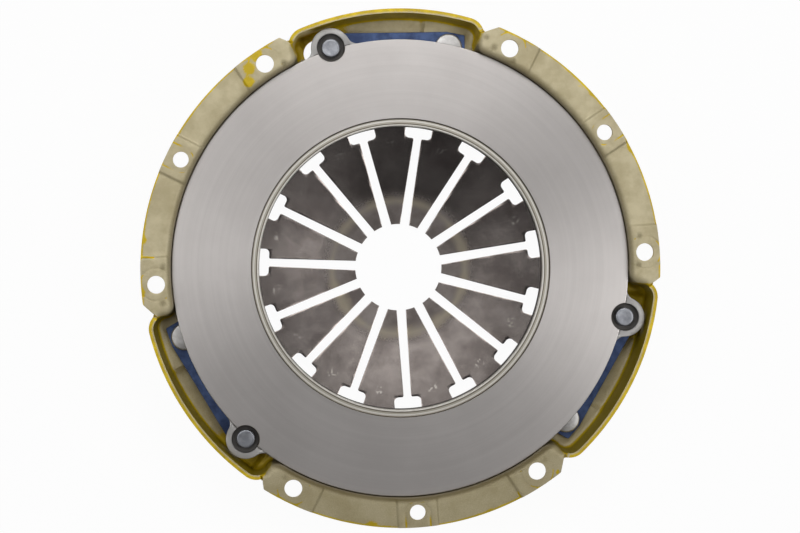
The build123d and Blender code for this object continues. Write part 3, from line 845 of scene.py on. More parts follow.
def finish_piece(piece, body, replaced, slot):
    """Gives a piece its finish and its body, and hides the frame nodes it stands for; no body where it
    bends.
    """
    piece.data.materials.clear()
    piece.data.materials.append(finishes[slot])
    if body:
        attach(piece, body)
    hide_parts(*replaced)
    piece.data.calc_loop_triangles()
    print(piece.name, len(piece.data.loop_triangles), "triangles")


# %% [markdown]
# The cover is the hardest piece: one sheet of steel pressed into a bowl, with a flange in
# three segments and three deep pockets for the straps. Its inner face is built from two
# sections. The flange section runs from the outer edge over the bend, down the wall and along
# the shelf. The pocket section starts at the pocket's rim and drops down its wall to the floor.
# From the shelf inwards the drum and the back are the same everywhere.

# %% Sizes of the cover, in mm and degrees
SECTOR = 120
POCKETS = (90, 210, 330)
DOWELS = (30, 150, 270)
BOLTS = tuple(60 * step for step in range(6))
BOLT_CIRCLE = 123.5
FLANGE_EDGE = 131.0
BEND = 3.6
NOTCH_ROLL = 3.3
CORNER_ROLL = 5.5
BOWL = 116.15
DRUM = 104.52
OPENING = 74.52
PAD_Z = -19.94
BACK_Z = -33.85
SHELF_BEND = 3.0
DRUM_EDGE = 1.0
BACK_BEND = 4.0
SHEET = 3.0
POCKET_SHEET = 2.2
PAD_RELIEF = 1.0
DOWEL_PAD = (9.3, 11.1)
BOLT_PAD = (12.9, 14.7)
RIM_TOP = -1.2
RIM_INSIDE = 128.6
CORNER = 6.8
POCKET_END = 22.48
DRAFT = math.tan(math.radians(3.0))
FLOOR_BEND = 2.0
RECESS = 2.6
RECESS_SLOPE = (12.0, 14.4)
RECESS_END = (20.6, 19.2)
COVER_RIVET = (115.2, -16.1)
LUG_RIVET = (116.9, 13.9)
STRAP_START = at(*COVER_RIVET)
STRAP_END = at(*LUG_RIVET)
STRAP_HEADING = math.atan2(STRAP_END[1] - STRAP_START[1], STRAP_END[0] - STRAP_START[0])
STRAP_LENGTH = math.hypot(STRAP_END[0] - STRAP_START[0], STRAP_END[1] - STRAP_START[1])

# Rings of the tube: along the flange, round its roll, down the wall, round the foot, along the shelf
FLANGE_RINGS = 9
ROLL_RINGS = 6
DROP_RINGS = 3
WALL_RINGS = 1 + FLANGE_RINGS + ROLL_RINGS + DROP_RINGS
BEND_RINGS = 4
FLOOR_RINGS = 15

# The free edge beside a pocket, as (turn from the pocket's middle, radius, height): it leaves
# the flange's circle at a slant, dips at the notch and runs on as the pocket's rim.
LEAD_END = ((-60.0, FLANGE_EDGE, 0.0), (-25.8, FLANGE_EDGE, 0.0), (-23.4, 126.6, -0.2),
            (-22.5, 125.3, -0.8), (-21.9, 125.7, RIM_TOP))
TRAIL_END = ((21.8, 125.9, RIM_TOP), (22.3, 125.8, -0.8), (22.8, 127.2, -0.2),
             (24.2, FLANGE_EDGE, 0.0), (60.0, FLANGE_EDGE, 0.0))

# Columns stand at these distances in mm beside the middle of a dowel pad and of a bolt pad
DOWEL_COLUMNS = (11.2, 10.8, 10.4, 10.0, 9.6, 9.2)
BOLT_COLUMNS = (12.8, 13.2, 13.6, 14.0, 14.4, 14.8)


def from_nearest(angle, places):
    """Signed degrees to the nearest of some places."""
    return min(((angle - place + 180) % 360 - 180 for place in places), key=abs)


def turns_beside(asides):
    """Degrees on the bolt circle that lie at some distances in mm beside a hole."""
    return [math.degrees(math.asin(aside / BOLT_CIRCLE)) for aside in asides]


def column_turns():
    """Columns of one third of the cover, in degrees from the middle of its pocket."""
    half = between(0, 14, 16) + between(14, 27.5, 60) + between(27.5, 35.6, 7)
    half += [30 + turn for turn in turns_beside(BOLT_COLUMNS)]
    half += between(37.0, 54.6, 16)
    half += [60 - turn for turn in turns_beside(DOWEL_COLUMNS)] + between(56.0, 60.0, 4)
    return [-turn for turn in reversed(half[:-1])] + [0.0] + half


print("columns in a third:", len(column_turns()))


# %% The two sections
CHANGE_OVER = (24.6, 20.6)


def quarter(steps):
    """Turns of a quarter circle in radians, from its first step to its end."""
    return between(0, math.pi / 2, steps)


def into_floor(radius, height, bend, steps):
    """Round corner where a wall at a radius runs into a floor at a height."""
    return [(radius - bend * (1 - math.cos(turn)), height + bend * (1 - math.sin(turn)))
            for turn in quarter(steps)]


def flange_section(edge):
    """From the free edge over the bend and down the bowl's wall to its shelf."""
    outer, top = edge
    bend_start = BOWL + BEND
    points = [(outer, top)] + [(radius, 0.0) for radius in between(outer, bend_start, FLANGE_RINGS)]
    points += [(bend_start - BEND * math.sin(turn), BEND * (math.cos(turn) - 1))
               for turn in quarter(ROLL_RINGS)]
    points += [(BOWL, height) for height in between(-BEND, PAD_Z + SHELF_BEND, DROP_RINGS)]
    points += into_floor(BOWL, PAD_Z, SHELF_BEND, BEND_RINGS)
    return points + [(radius, PAD_Z) for radius in between(BOWL - SHELF_BEND, DRUM + DRUM_EDGE, FLOOR_RINGS)]


def rim_radius(turn):
    """Inner edge of the pocket's rim at a turn from the pocket's middle."""
    centre = RIM_INSIDE - CORNER
    aside = math.radians(max(abs(turn) - POCKET_END, -10)) * centre + CORNER
    return centre + math.sqrt(max(CORNER * CORNER - max(aside, 0) ** 2, 0))


def free_edge(turn):
    """Radius and height of the sheet's free edge."""
    for line in (LEAD_END, TRAIL_END):
        for (first, r1, z1), (last, r2, z2) in zip(line, line[1:]):
            if first <= turn <= last:
                share = (turn - first) / (last - first)
                return r1 + (r2 - r1) * share, z1 + (z2 - z1) * share
    return rim_radius(turn), RIM_TOP


def recess_depth(radius, turn):
    """How far the pocket floor is pressed below the strap's pad."""
    x, y = at(radius, turn)
    x, y = x - STRAP_START[0], y - STRAP_START[1]
    along = x * math.cos(STRAP_HEADING) + y * math.sin(STRAP_HEADING)
    return RECESS * ease(along, *RECESS_SLOPE) * ease(turn, *RECESS_END)


def pocket_section(edge, turn):
    """From the pocket's rim down its wall and along its floor."""
    top = min(edge[0], rim_radius(turn))
    foot_z = PAD_Z + FLOOR_BEND
    foot = top - (RIM_TOP - foot_z) * DRAFT
    heights = between(RIM_TOP, foot_z, WALL_RINGS - 1)
    points = [edge] + [(top - (RIM_TOP - height) * DRAFT, height) for height in heights]
    points += into_floor(foot, PAD_Z, FLOOR_BEND, BEND_RINGS)
    return points + [(radius, PAD_Z) for radius in between(foot - FLOOR_BEND, DRUM + DRUM_EDGE, FLOOR_RINGS)]


def drum_section(shelf_z):
    """From the shelf's inner edge down the drum to the opening in the back."""
    points = [(DRUM + DRUM_EDGE * (1 - math.sin(turn)), shelf_z - DRUM_EDGE * (1 - math.cos(turn)))
              for turn in quarter(3)]
    points += [(DRUM, BACK_Z + BACK_BEND)] + into_floor(DRUM, BACK_Z, BACK_BEND, 4)
    return points + [(radius, BACK_Z) for radius in between(DRUM - BACK_BEND, OPENING, 3)]


def cover_section(turn):
    """Inner face of the sheet at one turn, up to the shelf's inner edge."""
    edge = free_edge(turn)
    share = ease(abs(turn), *CHANGE_OVER)
    pairs = zip(flange_section(edge), pocket_section(edge, turn))
    return [(a + (c - a) * share, b + (d - b) * share) for (a, b), (c, d) in pairs]


# %% [markdown]
# A straight mix of two sections gives a slack, slanting end to each pocket. In the press the
# flange rolls into the pocket's end wall over a bend of its own, tighter near the notch. That
# face can be written as a distance: the open space above the sheet is the flange's half space
# joined with the bowl and the pocket, and each join is rounded. The points near the pocket ends
# are first evened out among their neighbours and then pushed onto that face, again and again.

# %% The pressed face as a distance
EDGE_ROLL = 0.4
SLOPE_STEP = 0.02
LARGEST_MOVE = 1.5
EVENING_SHARE = 0.6


def soft_step(value, low, high):
    """The same smooth step for a whole array."""
    share = np.clip((value - low) / (high - low), 0, 1)
    return share * share * (3 - 2 * share)


def inside_both(first, second, bend):
    """Distance to what lies in two spaces at once, with a rounded corner."""
    a, b = first + bend, second + bend
    return np.hypot(np.maximum(a, 0), np.maximum(b, 0)) + np.minimum(np.maximum(a, b), 0) - bend


def inside_either(first, second, bend):
    """Distance to what lies in one of two spaces, with a rounded join."""
    hollow = np.hypot(np.maximum(bend - first, 0), np.maximum(bend - second, 0))
    return np.maximum(bend, np.minimum(first, second)) - hollow


def face_distance(points):
    """Distance in mm from the pressed face, below zero in the open space above the sheet."""
    x, y, z = points[..., 0], points[..., 1], points[..., 2]
    radius = np.hypot(x, y)
    turn = np.degrees(np.arctan2(y, x))
    end = np.radians(np.abs(turn) - POCKET_END) * radius
    plan = inside_both(radius - RIM_INSIDE, end, CORNER)
    # The bowl's wall turns into the pocket's end, more tightly near the notch
    corner = NOTCH_ROLL + (CORNER_ROLL - NOTCH_ROLL) * soft_step(radius, 122.5, 119.5)
    side = inside_either(radius - BOWL, plan + (RIM_TOP - z) * DRAFT, corner)
    # The wall meets the pocket's floor in a smaller bend than it meets the shelf
    foot = FLOOR_BEND + (SHELF_BEND - FLOOR_BEND) * soft_step(np.abs(turn), 21.5, 24.0)
    cup = inside_both(side, PAD_Z - z, foot)
    # The flange rolls down over its full bend inside, and hardly at all at the free edge
    roll = EDGE_ROLL + (NOTCH_ROLL - EDGE_ROLL) * soft_step(radius, 127.0, 124.5)
    roll = roll + (BEND - NOTCH_ROLL) * soft_step(radius, 123.0, 120.5)
    return inside_either(-z, cup, roll)


def onto_face(points):
    """Points moved onto the pressed face along its slope."""
    for _ in range(3):
        here = face_distance(points)
        slope = np.zeros_like(points)
        for axis in range(3):
            shift = np.zeros(3)
            shift[axis] = SLOPE_STEP
            rise = face_distance(points + shift) - face_distance(points - shift)
            slope[..., axis] = rise / (2 * SLOPE_STEP)
        size = np.maximum((slope ** 2).sum(axis=-1), 0.05)
        move = np.clip(here / size, -LARGEST_MOVE, LARGEST_MOVE)
        points = points - slope * move[..., None]
    return points


def evened(grid, rounds):
    """Evens the inner points of a grid of points and keeps them on the face."""
    for _ in range(rounds):
        middle = (grid[:-2, 1:-1] + grid[2:, 1:-1] + grid[1:-1, :-2] + grid[1:-1, 2:]) / 4
        stay = grid[1:-1, 1:-1] * (1 - EVENING_SHARE)
        grid[1:-1, 1:-1] = onto_face(stay + middle * EVENING_SHARE)
    return grid


# %% [markdown]
# The steps of the pads run parallel to the line through their hole, and the columns of the grid
# are turned a little so that they run along those steps. The pads stand full height and the
# spans between them are pressed lower.

# %% Cover sheet
EVENED_TURNS = ((-27.51, -12.99), (12.99, 27.51))
EVENED_SHELF = 9
EVENING_ROUNDS = 220


def along_pads(x, y):
    """Turns a point so that the columns beside a hole run parallel to the line through it."""
    radius = math.hypot(x, y)
    angle = math.degrees(math.atan2(y, x))
    reach = max(radius, BOWL)
    dowel = from_nearest(angle, (-60, 60))
    bolt = from_nearest(angle, (-90, -30, 30, 90))
    share, near = ease(abs(dowel), 9.0, 5.6), dowel
    if abs(dowel) > 15:
        share, near = ease(abs(bolt), 12.0, 7.4) if abs(dowel) < 30 else 0.0, bolt
    parallel = math.degrees(math.asin(math.sin(math.radians(near)) * BOLT_CIRCLE / reach))
    return at(radius, angle + (parallel - near) * share)


def pressed_down(x, y, z):
    """Lowers the spans between the pads."""
    radius = math.hypot(x, y)
    angle = math.degrees(math.atan2(y, x))
    if radius < BOWL - 0.1 or z < -8 or abs(angle) < 30:
        return z
    dowel = abs(radius * math.sin(math.radians(from_nearest(angle, (-60, 60)))))
    bolt = abs(radius * math.sin(math.radians(from_nearest(angle, (-30, 30)))))
    drop = PAD_RELIEF * ease(dowel, *DOWEL_PAD) * ease(bolt, *BOLT_PAD)
    return z - drop * min(max(1 + z / 8, 0), 1)


def cover_grid(turns):
    """Points in mm of one third of the sheet's inner face: one row for each column."""
    rows = [[spin(point, turn) for point in cover_section(turn)] for turn in turns]
    grid = np.array(rows)
    shelf = WALL_RINGS + BEND_RINGS + EVENED_SHELF
    for low, high in EVENED_TURNS:
        zone = [number for number, turn in enumerate(turns) if low <= turn <= high]
        part = grid[zone[0]:zone[-1] + 1, :shelf]
        grid[zone[0]:zone[-1] + 1, :shelf] = evened(part, EVENING_ROUNDS)
    columns = []
    for turn, row in zip(turns, grid.tolist()):
        column = []
        for x, y, z in row:
            x, y = along_pads(x, y)
            radius, angle = math.hypot(x, y), math.degrees(math.atan2(y, x))
            z -= recess_depth(radius, angle) * ease(z, -12, PAD_Z)
            column.append((x, y, pressed_down(x, y, z)))
        shelf_z = column[-1][2]
        columns.append(column + [spin(point, turn) for point in drum_section(shelf_z)])
    return columns


# The first column is the last one of the third before, so it is left out
turns = column_turns()[1:]
grid = cover_grid(turns)
spots = {}
for pocket in POCKETS:
    swing = turn_z(pocket)
    for turn, column in zip(turns, grid):
        spots[(pocket + turn) % 360] = [swing @ Vector(point) for point in column]
cover_angles = sorted(spots)
cover_piece = ring_tube("cover_pressing", len(cover_angles), len(grid[0]))
form_tube(cover_piece, cover_angles, lambda ring, angle: spots[angle][ring])
close_up(cover_piece)
print("cover sheet:", len(cover_angles), "columns of", len(grid[0]))

# %% [markdown]
# The sheet gets its thickness from Solidify, thinner in the pockets, where the steel was drawn
# out. A vertex group carries that share. Then every hole is drilled at once, together with the
# shallow rings that the punch leaves round the bolt holes and the horseshoes at the dowels.

# %% Cover thickness, holes and edges
COIN = 0.25
COIN_RING = (8.7, 7.7)
HORSESHOE = (6.7, 5.7)
HORSESHOE_REACH = 9
BOLT_HOLE = 4.5
DOWEL_HOLE = 4.0
ACCESS_HOLE = 8.0
RIVET_HOLE = 3.05
DRAIN_HOLE = 7.0
DRAIN_PLACE = (117.4, 17.3)
FULCRUM_CIRCLE = 80.52
FULCRUM_TURNS = tuple(30 + 24 * step for step in range(FINGERS))


def sheet_sign(piece):
    """Plus one when the faces look up and inwards, so that the thickness goes the other way."""
    top = max(piece.data.polygons, key=lambda face: face.center.xy.length if face.center.z > -0.001 else 0)
    return 1 if top.normal.z > 0 else -1


def coin_ring(x, y):
    """Cutter of the shallow ring that the punch leaves round a bolt hole."""
    outer, inner = COIN_RING
    ring = lathe("coin", [(outer, -COIN), (outer, 1), (inner, 1), (inner, -COIN)], 64)
    ring.data.transform(Matrix.Translation((x * MM, y * MM, 0)))
    return ring


def coin_horseshoe(angle):
    """Cutter of the shallow horseshoe round a dowel hole, open to the flange's edge."""
    turns = [math.radians(270 - 180 / 24 * step) for step in range(25)]
    wide, narrow = HORSESHOE
    outer = [(wide * math.cos(turn), wide * math.sin(turn)) for turn in turns]
    inner = [(narrow * math.cos(turn), narrow * math.sin(turn)) for turn in reversed(turns)]
    ends = [(HORSESHOE_REACH, wide), (HORSESHOE_REACH, narrow)]
    outline = [(HORSESHOE_REACH, -wide)] + outer + ends + inner + [(HORSESHOE_REACH, -narrow)]
    mark = prism("horseshoe", [(BOLT_CIRCLE + x, y) for x, y in outline], -COIN, 1)
    mark.data.transform(turn_z(angle))
    return mark


group = cover_piece.vertex_groups.new(name="sheet")
thinner = 1 - POCKET_SHEET / SHEET
for vertex in cover_piece.data.vertices:
    bearing = math.degrees(math.atan2(vertex.co.y, vertex.co.x))
    in_pocket = ease(abs(from_nearest(bearing, POCKETS)), 24.3, 21.7) * ease(vertex.co.z * 1000, -22, -17)
    group.add([vertex.index], 1 - in_pocket * thinner, "REPLACE")
apply_modifier(cover_piece, "SOLIDIFY", thickness=SHEET * MM, offset=-sheet_sign(cover_piece),
               use_even_offset=True, vertex_group="sheet")
cutters = [pin(BOLT_HOLE, -6, 3, *at(BOLT_CIRCLE, bolt)) for bolt in BOLTS]
cutters += [coin_ring(*at(BOLT_CIRCLE, bolt)) for bolt in BOLTS]
cutters += [pin(DOWEL_HOLE, -6, 3, *at(BOLT_CIRCLE, dowel)) for dowel in DOWELS]
cutters += [coin_horseshoe(dowel) for dowel in DOWELS]
cutters += [pin(ACCESS_HOLE, -30, -17, *at(LUG_RIVET[0], pocket + LUG_RIVET[1])) for pocket in POCKETS]
cutters += [pin(RIVET_HOLE, -27, -16, *at(COVER_RIVET[0], pocket + COVER_RIVET[1])) for pocket in POCKETS]
cutters += [pin(RIVET_HOLE, -40, -30, *at(FULCRUM_CIRCLE, turn), sides=24) for turn in FULCRUM_TURNS]
cut_away(cover_piece, cutters)
# The drain hole runs into an access hole, so it is cut after it
drain_radius, drain_turn = DRAIN_PLACE
cut_away(cover_piece, [pin(DRAIN_HOLE, -30, -17, *at(drain_radius, POCKETS[0] + drain_turn))])
round_edges(cover_piece, 0.3)
print("faults mended:", cover_piece.data.validate())
smooth_shade(cover_piece, 40)

# %% [markdown]
# Where the yellow spray lands is a property of the surface: all of the outside, the cut
# edges, the pocket walls, and a few places where it blew round the rim. It is worked out once
# for every point and kept as an attribute that the finish reads.

# %% Paint on the cover
# Spots of yellow and smudges of dirt as (angle, radius, size in mm)
SPRAY_SPOTS = ((120.6, 129.2, 5.2), (123.6, 126.0, 5.4), (125.6, 121.0, 4.8), (170.0, 130.6, 3.4),
               (181.5, 130.8, 3.2), (24.2, 130.6, 3.0), (39.0, 130.8, 2.8), (41.5, 128.2, 1.8),
               (44.6, 131.0, 2.4), (259.5, 130.8, 4.4), (286.0, 131.0, 3.0), (293.7, 130.6, 1.6),
               (303.7, 129.8, 1.8), (353.0, 130.8, 2.6))
SMUDGES = ((63.5, 120.8, 3.4), (66.0, 124.0, 2.6), (58.0, 118.8, 3.0), (116.0, 119.0, 3.0),
           (176.0, 119.5, 3.2), (184.5, 121.0, 3.0), (237.0, 120.5, 3.4), (303.0, 121.0, 3.0),
           (357.0, 120.0, 3.0), (4.0, 121.5, 2.6))
# Stretches of the flange's edge that caught the spray, as (first angle, last angle)
EDGE_SPRAY = ((22.2, 26.2), (34.2, 47.0), (55.0, 64.0), (116.0, 124.0), (140.0, 146.0), (166.0, 174.0),
              (178.6, 184.0), (236.0, 243.0), (254.0, 264.0), (280.0, 294.0), (350.0, 357.0))
# Thin runs of paint from the edge inwards, as (angle, radius of the inner end)
STREAKS = ((41.5, 126.5), (173.7, 124.0), (293.7, 127.0))


def near_any(x, y, spots):
    """How close a point in mm lies to the middle of any spot: one there, nothing at its edge."""
    best = 0.0
    for angle, radius, size in spots:
        spot_x, spot_y = at(radius, angle)
        best = max(best, ease(math.hypot(x - spot_x, y - spot_y), size, size * 0.2))
    return best


def behind_face(piece):
    """How deep each point of the sheet lies behind its pressed face, in mm."""
    x, y, z = np.array([tuple(vertex.co) for vertex in piece.data.vertices]).T / MM
    turn = np.radians((np.degrees(np.arctan2(y, x)) - POCKETS[0] + SECTOR / 2) % SECTOR - SECTOR / 2)
    radius = np.hypot(x, y)
    return face_distance(np.stack([radius * np.cos(turn), radius * np.sin(turn), z], axis=-1))


def spray(point, normal, radius, angle, depth):
    """Share of yellow paint at a point, from 0 to 1."""
    height = point.z * 1000
    turn = abs(from_nearest(angle, POCKETS))
    outward = (normal.x * point.x + normal.y * point.y) / max(point.xy.length, 1e-6)
    # The whole outside is yellow: what faces back or outwards, and what lies deep in the sheet
    if normal.z < -0.3 or (outward > 0.35 and height < -0.2):
        return 1.0
    if depth > 1.0 and normal.z < 0.5 and radius > DRUM + 2:
        return 1.0
    amount = 0.08
    if turn < 22.6 and radius > BOWL + 1:
        # Pocket walls, and the rim's top above them
        amount = 0.26 + 0.64 * ease(normal.z, 0.95, 0.6) * ease(turn, 23.0, 22.0)
        amount += 0.55 * ease(from_nearest(angle, POCKETS), 7, 11)
        if height > -1.6 and turn < 21.8:
            amount = 0.3 + (0.36 + 0.24 * ease(turn, 8, 18)) * ease(radius, 129.7, 130.5)
    elif radius > BOWL + 1:
        # The flange: its very edge, the stretches that caught the spray and the thin runs
        amount = 0.1 + 0.25 * ease(radius, 129.9, 131.0)
        for first, last in EDGE_SPRAY:
            share = ease(angle, first - 1.5, first + 0.5) * ease(angle, last + 1.5, last - 0.5)
            amount = max(amount, 0.75 * share * ease(radius, 129.0, 130.6))
        for streak, inner in STREAKS:
            aside = abs(from_nearest(angle, (streak,))) * 2.2
            amount = max(amount, 0.8 * ease(aside, 0.9, 0.2) * ease(radius, inner - 1, inner + 1))
        amount = max(amount, 0.45 * ease(turn, 23.6, 22.6))
    return min(max(amount, near_any(point.x * 1000, point.y * 1000, SPRAY_SPOTS)), 1.0)


def grime_and_shade(point, normal, radius, angle):
    """Share of dirt and painted shade at a point: painted shade on steep walls, in the lower pockets and
    towards the bottom of the flange, both in the bend into the bowl, and dirt in smudges by the pockets.
    """
    height = point.z * 1000
    turn = abs(from_nearest(angle, POCKETS))
    steep = ease(normal.z, 0.8, 0.2)
    # Pocket walls get painted shade, more in the two lower pockets than in the top one
    if turn < 22.6 and radius > BOWL:
        base, more = (0.12, 0.15) if point.y > 0.08 else (0.32, 0.45)
        return base + more * steep if height < -1.6 else 0.1
    if radius < BOWL - 0.5 or normal.z < 0:
        return 0.15
    # Painted shade towards the bottom of the flange, and painted shade with some dirt in the bend into the
    # bowl; the smudges are dirt
    lower = 0.48 * ease(point.y * 1000, -20, -90)
    bend = lower + 0.5 * ease(radius, 120.0, 116.6)
    return max(bend, 0.6 * steep, 0.65 * near_any(point.x * 1000, point.y * 1000, SMUDGES))


def lay_paint(piece):
    """Keeps the paint, and the dirt with its painted shade, of every point as two attributes."""
    paint = piece.data.attributes.new("paint", "FLOAT", "POINT")
    dirt_and_shade = piece.data.attributes.new("grime_and_shade", "FLOAT", "POINT")
    normals = [vertex.normal.copy() for vertex in piece.data.vertices]
    for vertex, normal, depth in zip(piece.data.vertices, normals, behind_face(piece)):
        radius = vertex.co.xy.length * 1000
        angle = math.degrees(math.atan2(vertex.co.y, vertex.co.x)) % 360
        paint.data[vertex.index].value = spray(vertex.co, normal, radius, angle, depth)
        dirt_and_shade.data[vertex.index].value = grime_and_shade(vertex.co, normal, radius, angle)


lay_paint(cover_piece)
finish_piece(cover_piece, "cover", ["cover"], "cover_steel")

# %% [markdown]
# The pressure plate is a casting with a ground face. Its outline is a circle with three round
# lugs, and small hollow fillets lead from the rim into each lug. Because every ray from the
# axis meets that outline once, the outline can be written as a radius for each angle, and the
# same ring tube takes the plate's section all the way round.

# %% Sizes of the plate, in mm and degrees
PLATE_EDGE = 115.7
FACE_Z = -6.3
LUG_RADIUS, LUG_TURN = LUG_RIVET
LUG_BOSS = 10.0
LUG_FILLET = 5.0
LUG_FACE_Z = -7.1
LUG_BACK_Z = -16.1
RIM_BACK_Z = -13.3
BODY_EDGE = 103.42
BODY_BACK_Z = -18.5
RIDGE = 101.02
RIDGE_HALF = 2.2
RIDGE_ROUND = 1.5
RIDGE_TIP_Z = -24.0
BORE = 71.9
BOSS_TURN = (4.8, 4.5)
LUG_REACH = 8
LUGS = tuple(pocket + LUG_TURN for pocket in POCKETS)


def fillet_turn():
    """Turn from the lug's middle at which the fillet leaves the rim."""
    reach = PLATE_EDGE + LUG_FILLET
    span = LUG_BOSS + LUG_FILLET
    return math.degrees(math.acos((LUG_RADIUS ** 2 + reach ** 2 - span ** 2) / (2 * LUG_RADIUS * reach)))


FILLET_TURN = fillet_turn()


def plate_outline(turn):
    """Radius of the plate's outline at a turn from a lug's middle."""
    turn = abs(turn)
    if turn >= FILLET_TURN:
        return PLATE_EDGE
    reach = PLATE_EDGE + LUG_FILLET
    aside = math.radians(turn)
    lug = LUG_BOSS ** 2 - (LUG_RADIUS * math.sin(aside)) ** 2
    off = math.radians(FILLET_TURN - turn)
    hollow = LUG_FILLET ** 2 - (reach * math.sin(off)) ** 2
    if hollow > 0:
        return reach * math.cos(off) - math.sqrt(hollow)
    return LUG_RADIUS * math.cos(aside) + math.sqrt(max(lug, 0))


def ridge_points(angle):
    """The round ridge on the back, which stops short beside every fulcrum rivet."""
    bearing = (angle - DOWELS[0]) % 24
    tip = BODY_BACK_Z + (RIDGE_TIP_Z - BODY_BACK_Z) * ease(min(bearing, 24 - bearing), 1.0, 2.0)
    middle = (BODY_BACK_Z + tip) / 2
    shoulder = tip + (middle - tip) * 0.25
    return [(RIDGE + RIDGE_HALF, BODY_BACK_Z), (RIDGE + RIDGE_HALF, middle), (RIDGE + RIDGE_ROUND, shoulder),
            (RIDGE, tip), (RIDGE - RIDGE_ROUND, shoulder), (RIDGE - RIDGE_HALF, middle),
            (RIDGE - RIDGE_HALF, BODY_BACK_Z)]


def plate_section(angle):
    """Section of the plate at an angle, as a closed run of (radius, height) points."""
    edge = plate_outline(from_nearest(angle, LUGS))
    thick = ease(abs(from_nearest(angle, LUGS)), *BOSS_TURN)
    back = RIM_BACK_Z + (LUG_BACK_Z - RIM_BACK_Z) * thick
    # Friction face, from the bore's edge outwards
    points = [(75.7, FACE_Z - 0.2), (75.95, FACE_Z), (76.1, FACE_Z)]
    points += [(radius, FACE_Z) for radius in between(76.1, PLATE_EDGE - 0.5, 10)]
    points += [(PLATE_EDGE - 0.35, FACE_Z), (PLATE_EDGE - 0.1, FACE_Z - 0.12), (PLATE_EDGE, FACE_Z - 0.4)]
    # A lug's face lies lower, behind a fine groove where the grinding stopped
    groove = 0.4 * ease(edge - PLATE_EDGE, 1.2, 3.6)
    lug_end = max(edge - 0.6, PLATE_EDGE + groove)
    points += [(PLATE_EDGE, LUG_FACE_Z - groove), (PLATE_EDGE + groove * 0.6, LUG_FACE_Z - groove)]
    points += [(radius, LUG_FACE_Z) for radius in between(PLATE_EDGE + groove, lug_end, 3)]
    points += [(edge - 0.18 * thick, LUG_FACE_Z - 0.18), (edge, LUG_FACE_Z - 0.6)]
    # Down the outside, in under the rim and down the body to its back
    points += [(edge, back + 0.5), (edge - 0.15, back + 0.15), (edge - 0.5, back)]
    points += [(BODY_EDGE + 1, back), (BODY_EDGE + 0.3, back - 0.3), (BODY_EDGE, min(back - 1, -14.3))]
    points += [(BODY_EDGE, BODY_BACK_Z)] + ridge_points(angle)
    # Along the back, up the bore and over the turned land
    points += [(90, BODY_BACK_Z), (73, BODY_BACK_Z), (BORE, BODY_BACK_Z + 1), (BORE, -8.1), (72.1, -7.6)]
    points += [(72.4, -7.4), (74.6, -7.4), (74.8, -7.6), (75.5, -7.6), (75.7, -7.3)]
    return points + points[:1]


def plate_angles():
    """Fine columns over the lugs, plain ones elsewhere."""
    near = [-LUG_REACH + 2 * LUG_REACH / 88 * step for step in range(88)]
    far = [LUG_REACH + step for step in range(SECTOR - 2 * LUG_REACH)]
    return sorted((lug + turn) % 360 for lug in LUGS for turn in near + far)


# %% Plate
LUG_BORE = [(0, -4), (7.3, -4), (7.3, -7.1), (7.0, -7.4), (7.0, -11.2), (6.6, -11.6),
            (RIVET_HOLE, -11.6), (RIVET_HOLE, -18), (0, -18)]
HEAD_ROOM = 8.3

plate_columns = plate_angles()
sections = {angle: plate_section(angle) for angle in plate_columns}
plate_piece = ring_tube("pressure_plate_casting", len(plate_columns), len(sections[plate_columns[0]]))
form_tube(plate_piece, plate_columns, lambda ring, angle: spin(sections[angle][ring], angle))
close_up(plate_piece)
bore = lathe("bore", LUG_BORE, 64)
cutters = []
for lug in LUGS:
    x, y = at(LUG_RADIUS, lug)
    cutters.append(moved_copy(bore, "bore_copy", Matrix.Translation((x * MM, y * MM, 0))))
bpy.data.objects.remove(bore)
cutters += [pin(HEAD_ROOM, -18.5, -12.3, *at(COVER_RIVET[0], pocket + COVER_RIVET[1])) for pocket in POCKETS]
cut_away(plate_piece, cutters)
smooth_shade(plate_piece, 32)
finish_piece(plate_piece, "pressure_plate", ["pressure_plate"], "plate_iron")

# %% [markdown]
# The diaphragm spring is a coned disc, blanked from sheet and then slotted into fifteen
# fingers, with a knee where the tips flatten for the release bearing. The making follows the
# real order: first the coned blank on the lathe, then one punch for a slot with its wide root,
# copied round, and one boolean for all the slots.

# %% Diaphragm spring
TIP, KNEE, PIVOT, SPRING_EDGE = 22.45, 38.0, 86.02, 103.02
KNEE_BEND = 4.0
SPRING_SHEET = 2.7
PIVOT_TOP_Z = -27.46
DISC_SLOPE = math.tan(math.radians(12.5))
FINGER_SLOPE = math.tan(math.radians(9.4))
TIP_SLOPE = math.tan(math.radians(3.5))


def spring_top(radius):
    """Height of the spring's upper face."""
    if radius >= PIVOT:
        return PIVOT_TOP_Z + (radius - PIVOT) * DISC_SLOPE
    slope_z = PIVOT_TOP_Z - (PIVOT - radius) * FINGER_SLOPE
    if radius > KNEE + KNEE_BEND:
        return slope_z
    if radius < KNEE - KNEE_BEND:
        return slope_z + (KNEE - radius) * (FINGER_SLOPE - TIP_SLOPE)
    share = (KNEE + KNEE_BEND - radius) / (2 * KNEE_BEND)
    return slope_z + share * share * KNEE_BEND * (FINGER_SLOPE - TIP_SLOPE)


def spring_section():
    """Closed section of the blank, with small flats broken at both edges."""
    radii = [TIP + 0.3, 28, 33, 34.5, 36, 38, 40, 42, 50, 58, 66, 76, PIVOT, 92, 98, SPRING_EDGE - 0.5]
    top = [(radius, spring_top(radius)) for radius in radii]
    under = [(radius, spring_top(radius) - SPRING_SHEET * 1.02) for radius in reversed(radii)]
    tip_z = spring_top(TIP)
    edge_z = spring_top(SPRING_EDGE)
    outer = [(SPRING_EDGE, edge_z - 0.6), (SPRING_EDGE, edge_z - SPRING_SHEET + 0.4)]
    inner = [(TIP, tip_z - SPRING_SHEET + 0.3), (TIP, tip_z - 0.3)]
    return top + outer + under + inner


